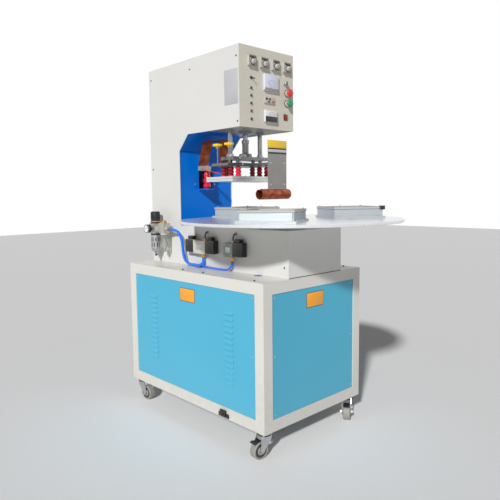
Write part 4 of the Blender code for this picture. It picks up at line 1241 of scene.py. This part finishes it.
@dataclass
class Press:
    """The press: plates, rods, insulators, electrode, contact, and the high frequency feed."""

    insulators: int = 6
    axis_y: float = FRONT_Y + 0.4314
    rod_x: float = 0.099
    rod_r: float = 0.0112
    plate_top: float = 1.2585
    lower_top: float = 1.229
    rod_top: float = 1.519
    flange_top: float = 1.2725

    def build(self) -> None:
        """Dress the press and add its fasteners and bands."""
        dress("press_platen", Finishes.STEEL)
        dress("electrode_plate", Finishes.ELECTRODE)
        dress("contact_plate", Finishes.BACKING)
        dress("contact_roll", Finishes.COPPER)
        dress("feed_insulator", Finishes.RED_RESIN)
        dress("feed_clamp", Finishes.CAST)
        dress("copper_strap", Finishes.COPPER)
        dress("copper_drop", Finishes.COPPER)
        for number in range(1, self.insulators + 1):
            dress("insulator_%d" % number, Finishes.RED_RESIN)
        for number in (1, 2):
            dress("clamp_knob_%d" % number, Finishes.YELLOW)
            self.knob_ribs(number)
        self.contact_details()
        self.rods()
        self.plate_bolts()
        self.electrode_details()
        self.feed_details()

    def knob_ribs(self, number: int) -> None:
        """Grip ribs and a bright centre screw on a yellow knob.

        Args:
            number: the knob's number.
        """
        low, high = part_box("clamp_knob_%d" % number)
        centre = Vector(((low[0] + high[0]) / 2, (low[1] + high[1]) / 2, low[2]))
        ribs = Shape()
        for step in range(8):
            turn = spun(centre, step * math.tau / 8, "Z")
            ribs.block((0.0165, -0.0042, 0.0085), (0.0222, 0.0042, 0.0195), 0.0019, turn=turn)
        ribs.piece("knob_lobes_%d" % number, Finishes.YELLOW, "press")
        screw = Shape()
        add_screw(screw, centre + Vector((0, 0, high[2] - low[2] - 0.0002)), UP, 0.0042, Head.PAN)
        screw.piece("knob_screw_%d" % number, Finishes.ZINC, "press")

    def contact_details(self) -> None:
        """The yellow band, bright strip, groove and screws of the contact plate."""
        low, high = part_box("contact_plate")
        top, face = high[2], low[1]
        band = Shape().block((low[0] - 0.0004, face - 0.0016, top - 0.034),
                             (high[0] + 0.0004, face + 0.001, top + 0.0004),
                             0.0006)
        band.piece("contact_band", Finishes.YELLOW, "press")
        strip = Shape().block((low[0], face - 0.0014, top - 0.053), (high[0], face + 0.0005, top - 0.0405),
                              0.0004)
        strip.piece("contact_strip", Finishes.SILVER_PLATE, "press")
        groove = Shape()
        for bottom, lid in ((0.060, 0.0535), (0.040, 0.0345)):
            groove.block((low[0], face - 0.0010, top - bottom), (high[0], face + 0.0005, top - lid), 0.0003)
        groove.piece("contact_groove", Finishes.DARK, "press")
        screws = Shape()
        for x in (low[0] + 0.015, high[0] - 0.015):
            for z in (top - 0.102, low[2] + 0.0185):
                add_screw(screws, (x, face, z), FORWARD, 0.0048, Head.PAN)
        screws.piece("contact_screws", Finishes.ZINC, "press")

    def rods(self) -> None:
        """Chromed sleeves on the guide rods and the piston, with clamp collars at their feet."""
        sleeves, collars = Shape(), Shape()
        for x in (-self.rod_x, self.rod_x):
            spot = (x, self.axis_y, 0)
            sleeves.drum(spot, UP, self.rod_r, self.plate_top, self.rod_top, 0.0, 32)
            collars.drum(spot, UP, 0.019, self.plate_top, self.plate_top + 0.006, 0.0008, 32)
            collars.drum(spot, UP, 0.0155, self.plate_top + 0.005, self.plate_top + 0.014, 0.0012, 6)
        spot = (0, self.axis_y, 0)
        sleeves.drum(spot, UP, 0.01165, self.flange_top + 0.066, self.rod_top, 0.0, 32)
        collars.drum(spot, UP, 0.0185, self.flange_top + 0.052, self.flange_top + 0.068, 0.0012, 6)
        for step in range(6):
            turn = step * math.tau / 6 + math.radians(15)
            bolt = (0.0245 * math.cos(turn), self.axis_y + 0.0245 * math.sin(turn), self.flange_top)
            add_screw(collars, bolt, UP, 0.0035, Head.SOCKET)
        sleeves.piece("rod_chrome", Finishes.CHROME, "press")
        collars.piece("rod_collars", Finishes.ZINC, "press")

    def plate_bolts(self) -> None:
        """Bolts on the upper plate and nuts on the lower one."""
        bolts = Shape()
        for x in (-0.06, 0.06):
            for y in (-0.034, 0.034):
                add_screw(bolts, (x, self.axis_y + y, self.plate_top), UP, 0.0065, Head.HEX)
        for x in (-0.085, 0.085):
            for y in (-0.053, 0.053):
                add_screw(bolts, (x, self.axis_y + y, self.lower_top), UP, 0.0058, Head.HEX)
        for x in (-0.08, 0.08):
            add_screw(bolts, (x, self.axis_y - 0.045, self.plate_top - 0.0078), FORWARD, 0.004, Head.SOCKET)
            add_screw(bolts, (x, self.axis_y - 0.065, self.lower_top - 0.0085), FORWARD, 0.004, Head.SOCKET)
        bolts.piece("plate_bolts", Finishes.ZINC, "press")

    def electrode_details(self) -> None:
        """The seam of the electrode's two plates and its screws."""
        low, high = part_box("electrode_plate")
        half = (low[2] + high[2]) / 2
        seam = Shape()
        inset, proud, deep = 0.0006, 0.0002, 0.001
        for near, far in (((low[0] + inset, low[1] - proud), (high[0] - inset, low[1] + deep)),
                          ((low[0] - proud, low[1] + inset), (low[0] + deep, high[1] - inset)),
                          ((high[0] - deep, low[1] + inset), (high[0] + proud, high[1] - inset))):
            seam.block((*near, half - 0.0006), (*far, half + 0.0004))
        seam.piece("electrode_seam", Finishes.DARK, "press")
        screws = Shape()
        for step in range(5):
            x = low[0] + 0.022 + step * (high[0] - low[0] - 0.044) / 4
            add_screw(screws, (x, low[1], (low[2] + half) / 2), FORWARD, 0.0024, Head.SOCKET)
            add_screw(screws, (x, low[1] + 0.014, high[2]), UP, 0.0034, Head.HEX)
        for step in range(3):
            y = low[1] + 0.03 + step * (high[1] - low[1] - 0.06) / 2
            add_screw(screws, (low[0], y, (low[2] + half) / 2), LEFTWARD, 0.0024, Head.SOCKET)
        screws.piece("electrode_screws", Finishes.ZINC, "press")

    def feed_details(self) -> None:
        """Bolts on the feed clamp, and the sleeved braid from it to the electrode."""
        low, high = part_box("feed_clamp")
        bolts = Shape()
        for x in (low[0] + 0.012, high[0] - 0.012):
            add_screw(bolts, (x, low[1], (low[2] + high[2]) / 2), FORWARD, 0.0048, Head.HEX)
        add_screw(bolts, ((low[0] + high[0]) / 2 + 0.017, (low[1] + high[1]) / 2, high[2]), UP, 0.006,
                  Head.HEX)
        bolts.piece("feed_bolts", Finishes.ZINC)
        clamp_end = Vector((low[0] + 0.03, low[1] - 0.001, low[2] + 0.004))
        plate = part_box("electrode_plate")
        foot = Vector((clamp_end.x + 0.015, plate[1][1] - 0.006, plate[1][2] + 0.0012))
        route = smooth_line((clamp_end, clamp_end + Vector((0.004, -0.012, -0.006)),
                             (clamp_end + foot) / 2 + Vector((0, 0.012, 0.006)),
                             foot + Vector((0, 0.012, 0.012)), foot), 6)
        strip = Shape()
        for shift in range(-3, 4):
            strip.sweep([point + Vector((shift * 0.0022, 0, 0)) for point in route], 0.0013, 8)
        made = strip.piece("feed_braid", Finishes.RED_LEAD, None)
        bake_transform(made)


@dataclass
class AirUnit:
    """Filter regulator, lubricator, valves and hoses on the left side."""

    side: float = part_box("housing_left")[0][0] - 0.0003
    x: float = -0.225
    regulator_y: float = FRONT_Y + 0.882
    lubricator_y: float = FRONT_Y + 0.804
    low: float = 0.888
    high: float = 0.938

    def build(self) -> None:
        """Dress the air pieces and add their fittings."""
        dress("air_filter_regulator", Finishes.CAST)
        dress("regulator_knob", Finishes.BLACK)
        dress("pressure_gauge", Finishes.BLACK)
        dress("filter_bowl", Finishes.ZINC)
        dress("lubricator_bowl", Finishes.BOWL)
        for node in ("air_hose", "branch_hose"):
            dress(node, Finishes.HOSE)
        for number, finish in ((1, Finishes.IVORY), (2, Finishes.GREY_GREEN)):
            dress("valve_%d" % number, finish)
            dress("valve_tube_%d" % number, Finishes.TUBE)
        self.gauge()
        self.regulator()
        self.lubricator()
        self.valve(1, FRONT_Y + 0.54, 0.085, (-1, 1), -0.026)
        self.valve(2, FRONT_Y + 0.335, 0.06, (-1,), -0.02)
        self.outlet()

    def gauge(self) -> None:
        """The gauge's bright rim, white card, marks, needle and clear glass."""
        low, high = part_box("pressure_gauge")
        centre = Vector((low[0], (low[1] + high[1]) / 2, (low[2] + high[2]) / 2))
        out = Vector(LEFTWARD)
        rim = Shape().lathe([(0.0175, -0.0002), (0.0212, -0.004), (0.0219, -0.004), (0.0219, 0.0004),
                             (0.0205, 0.0014),
                             (0.0175, 0.0008)], centre, out)
        rim.piece("gauge_rim", Finishes.CHROME)
        Shape().drum(centre, out, 0.0178, -0.0005, 0.0003, 0.0, 40).piece("gauge_card", Finishes.DIAL)
        marks = Shape()
        for tick in range(13):
            turn = math.radians(-132 + tick * 22)
            size = 0.0026 if tick % 3 == 0 else 0.0014
            spot = spun(centre, -turn, "X")
            marks.block((-0.0006, -0.0003, 0.0155 - size), (-0.0002, 0.0003, 0.0155), turn=spot)
        needle = spun(centre, math.radians(60), "X")
        marks.block((-0.0011, -0.0004, -0.004), (-0.0007, 0.0004, 0.0128), turn=needle)
        marks.drum(centre, out, 0.0019, 0.0002, 0.0014, 0.0002, 20)
        marks.piece("gauge_marks", Finishes.BLACK)

    def regulator(self) -> None:
        """Grip ribs on the regulator's knob, its lock ring, and the slotted guard of the filter bowl."""
        base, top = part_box("regulator_knob")[0][2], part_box("regulator_knob")[1][2]
        ribs = Shape()
        for step in range(24):
            turn = spun((self.x, self.regulator_y, base), step * math.tau / 24, "Z")
            ribs.block((0.0226, -0.0011, 0.0205), (0.0245, 0.0011, top - base - 0.006), 0.0005, turn=turn)
        ribs.piece("regulator_ribs", Finishes.BLACK)
        ring = Shape().lathe([(0.0258, 0.0085), (0.0268, 0.0085), (0.0268, 0.0118), (0.0258, 0.0118)],
                             (self.x, self.regulator_y, base))
        ring.piece("regulator_ring", Finishes.ORANGE)
        slots = Shape()
        bowl_low, bowl_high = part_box("filter_bowl")[0][2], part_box("filter_bowl")[1][2]
        for row, z in enumerate((bowl_low + 0.05, bowl_low + 0.078)):
            for step in range(10):
                turn = spun((self.x, self.regulator_y, z), (step + row / 2) * math.tau / 10, "Z")
                slots.block((0.0236, -0.0026, -0.0105), (0.0253, 0.0026, 0.0105), 0.0008, turn=turn)
        slots.piece("guard_slots", Finishes.BLACK)
        trim = Shape().lathe([(0.0248, -0.010), (0.0262, -0.010), (0.0262, -0.001), (0.0248, -0.001)],
                             (self.x, self.regulator_y, bowl_high))
        drain = (self.x, self.regulator_y, bowl_low)
        trim.drum(drain, UP, 0.0065, -0.008, 0.003, 0.001, 20)
        trim.piece("guard_trim", Finishes.BLACK)

    def lubricator(self) -> None:
        """The lubricator's sight dome, filler screw and bowl collar."""
        top = self.high + 0.004
        spot = (self.x, self.lubricator_y, top)
        dome = Shape().lathe([(0, 0), (0.0115, 0), (0.0115, 0.009), (0.009, 0.0135), (0, 0.015)], spot)
        dome.piece("sight_dome", Finishes.BOWL)
        fittings = Shape()
        fittings.lathe([(0.0117, 0), (0.014, 0), (0.014, 0.004), (0.0117, 0.004)], spot)
        add_screw(fittings, (self.x - 0.012, self.lubricator_y + 0.014, top), UP, 0.004, Head.HEX)
        fittings.piece("lubricator_fittings", Finishes.BRASS)
        bowl_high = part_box("lubricator_bowl")[1][2]
        collar = Shape().lathe([(0.0206, -0.009), (0.0222, -0.009), (0.0222, -0.0008), (0.0206, -0.0008)],
                               (self.x, self.lubricator_y, bowl_high))
        collar.piece("bowl_collar", Finishes.CAST)

    def valve(self, number: int, y: float, length: float, coils: tuple[int, ...], tube: float) -> None:
        """Black coils, end caps, fittings and screws of one solenoid valve.

        Args:
            number: the valve's number.
            y: the middle of its body.
            length: its body's length.
            coils: the ends that carry a coil.
            tube: where its small tube leaves, from y.
        """
        low, high = 0.802, 0.864
        near, far = self.side - 0.036, self.side - 0.004
        black = Shape()
        for way in coils:
            ends = sorted((y + way * (length / 2 + 0.0008), y + way * (length / 2 + 0.0626)))
            black.block((near - 0.0005, ends[0], low + 0.0035), (far + 0.0005, ends[1], high + 0.0045),
                        0.0022)
            plug = sorted((y + way * (length / 2 + 0.012), y + way * (length / 2 + 0.046)))
            black.block((near + 0.004, plug[0], high + 0.004), (far - 0.004, plug[1], high + 0.021), 0.0022)
        black.piece("valve_coils_%d" % number, Finishes.BLACK)
        brass = Shape()
        x = self.side - 0.018
        brass.drum((x, y - 0.012, low), UP, 0.0102, -0.0192, -0.0085, 0.0006, 6)
        brass.drum((x, y - 0.012, low), UP, 0.0088, -0.009, -0.0002, 0.0004, 24)
        fitting = [(0.0042, 0.0002), (0.0082, 0.0002), (0.0082, 0.0062), (0.0066, 0.0075), (0.0066, 0.0115),
                   (0.0042, 0.0115)]
        brass.lathe(fitting, (x, y + tube, high), steps=28)
        elbow = [(0.0042, 0.0002), (0.0074, 0.0002), (0.0074, 0.0045), (0.0042, 0.0045)]
        brass.lathe(elbow, (self.side, y + tube, high + 0.041), LEFTWARD, 28)
        brass.piece("valve_fittings_%d" % number, Finishes.BRASS)
        screws = Shape()
        for shift in (-length / 2 + 0.007, length / 2 - 0.007):
            for z in (low + 0.008, high - 0.008):
                add_screw(screws, (self.side - 0.034, y + shift, z), LEFTWARD, 0.0026, Head.PAN)
        screws.piece("valve_screws_%d" % number, Finishes.ZINC)
        card = Shape().block((self.side - 0.0346, y - length / 2 + 0.014, low + 0.019),
                             (self.side - 0.0338, y + length / 2 - 0.014, high - 0.019), 0.0003)
        card.piece("valve_card_%d" % number, Finishes.SILVER_PLATE)

    def outlet(self) -> None:
        """The brass nut where the air hose leaves the air unit."""
        radius = 0.0077
        nut = [(radius, 0.0), (0.0118, 0.0), (0.0118, 0.009), (0.0102, 0.0125), (radius, 0.0125)]
        brass = Shape().lathe(nut, (self.x, self.lubricator_y - 0.0362, 0.913), FORWARD, 6)
        brass.piece("outlet_nut", Finishes.BRASS)


@dataclass
class Studio:
    """The floor, the soft light and the camera at the photograph's angle."""

    camera_spot: tuple[float, float, float] = (-1.7917, -1.7590, 1.0805)
    yaw: float = 0.73339
    pitch: float = -0.09644
    roll: float = -0.01434
    focal_px: float = 530.643
    centre_px: tuple[float, float] = (230.463, 246.215)
    key_azimuth: float = 210.0
    key_height: float = 30.0
    key_angle: float = 4.0
    key_power: float = 3.15
    key_distance: float = 4.0
    sky: float = 0.07
    floor_half: float = 14.0
    floor_glow: float = 0.04
    far_clip: float = 60.0

    def build(self) -> None:
        """Set up the stage."""
        self.floor()
        self.camera()
        self.lights()

    def floor(self) -> None:
        """A plain pale floor."""
        shader = Shader("floor_pale")
        cloud = shader.noise(2.0, 3.0)
        material = shader.surface({
            "Base Color": shader.mix(cloud * 0.2, (0.9, 0.9, 0.9), (0.87, 0.87, 0.87)),
            "Roughness": 0.85,
            "Emission Color": (1.0, 1.0, 1.0, 1.0),
            "Emission Strength": self.floor_glow,
        })
        mesh = bmesh.new()
        bmesh.ops.create_grid(mesh, x_segments=2, y_segments=2, size=self.floor_half)
        data = bpy.data.meshes.new("studio_floor")
        mesh.to_mesh(data)
        mesh.free()
        data.materials.append(material)
        floor = bpy.data.objects.new("studio_floor", data)
        bpy.context.scene.collection.objects.link(floor)

    def camera(self) -> None:
        """The camera, solved from the cabinet's and the housing's edges."""
        level = math.cos(self.pitch)
        forward = Vector((math.sin(self.yaw) * level, math.cos(self.yaw) * level, math.sin(self.pitch)))
        right = Vector((math.cos(self.yaw), -math.sin(self.yaw), 0.0))
        up = right.cross(forward)
        tilted_right = right * math.cos(self.roll) + up * math.sin(self.roll)
        tilted_up = up * math.cos(self.roll) - right * math.sin(self.roll)
        data = bpy.data.cameras.new("photo_camera")
        data.sensor_width = SENSOR_MM
        data.lens = self.focal_px / PHOTO_SIDE * SENSOR_MM
        data.shift_x = (PHOTO_SIDE / 2 - self.centre_px[0]) / PHOTO_SIDE
        data.shift_y = (self.centre_px[1] - PHOTO_SIDE / 2) / PHOTO_SIDE
        data.clip_end = self.far_clip
        camera = bpy.data.objects.new("photo_camera", data)
        turn = Matrix((tilted_right, tilted_up, -forward)).transposed().to_4x4()
        camera.matrix_world = Matrix.Translation(self.camera_spot) @ turn
        bpy.context.scene.collection.objects.link(camera)
        bpy.context.scene.camera = camera

    def lights(self) -> None:
        """A key light from the left front and a white surrounding that fills softly."""
        world = bpy.data.worlds.new("studio_white")
        world.use_nodes = True
        background = world.node_tree.nodes["Background"]
        background.inputs[0].default_value = (1.0, 1.0, 1.0, 1.0)
        paths = world.node_tree.nodes.new("ShaderNodeLightPath")
        soft = world.node_tree.nodes.new("ShaderNodeMapRange")
        world.node_tree.links.new(paths.outputs["Is Diffuse Ray"], soft.inputs["Value"])
        soft.inputs["To Min"].default_value = 1.0
        soft.inputs["To Max"].default_value = self.sky
        world.node_tree.links.new(soft.outputs[0], background.inputs[1])
        bpy.context.scene.world = world
        data = bpy.data.lights.new("key_light", "SUN")
        data.angle = math.radians(self.key_angle)
        data.energy = self.key_power
        turn, lift = math.radians(self.key_azimuth), math.radians(self.key_height)
        outward = Vector((math.cos(turn) * math.cos(lift), math.sin(turn) * math.cos(lift), math.sin(lift)))
        lamp = bpy.data.objects.new("key_light", data)
        facing = outward.to_track_quat("Z", "Y").to_matrix().to_4x4()
        lamp.matrix_world = Matrix.Translation(outward * self.key_distance) @ facing
        bpy.context.scene.collection.objects.link(lamp)
        bpy.context.scene.view_settings.view_transform = "Standard"


def keep_sizes() -> None:
    log.info("sizes kept")


def main() -> None:
    """Build the machine's looks and the studio."""
    logging.basicConfig(level=logging.INFO, format="%(message)s")
    for assembly in (Studio(), Cabinet(), Casters(), Housing(), Console(), Turntable(), Press(), AirUnit()):
        assembly.build()
        log.info("%s done", type(assembly).__name__)
    keep_sizes()


if __name__ == "__main__":
    main()
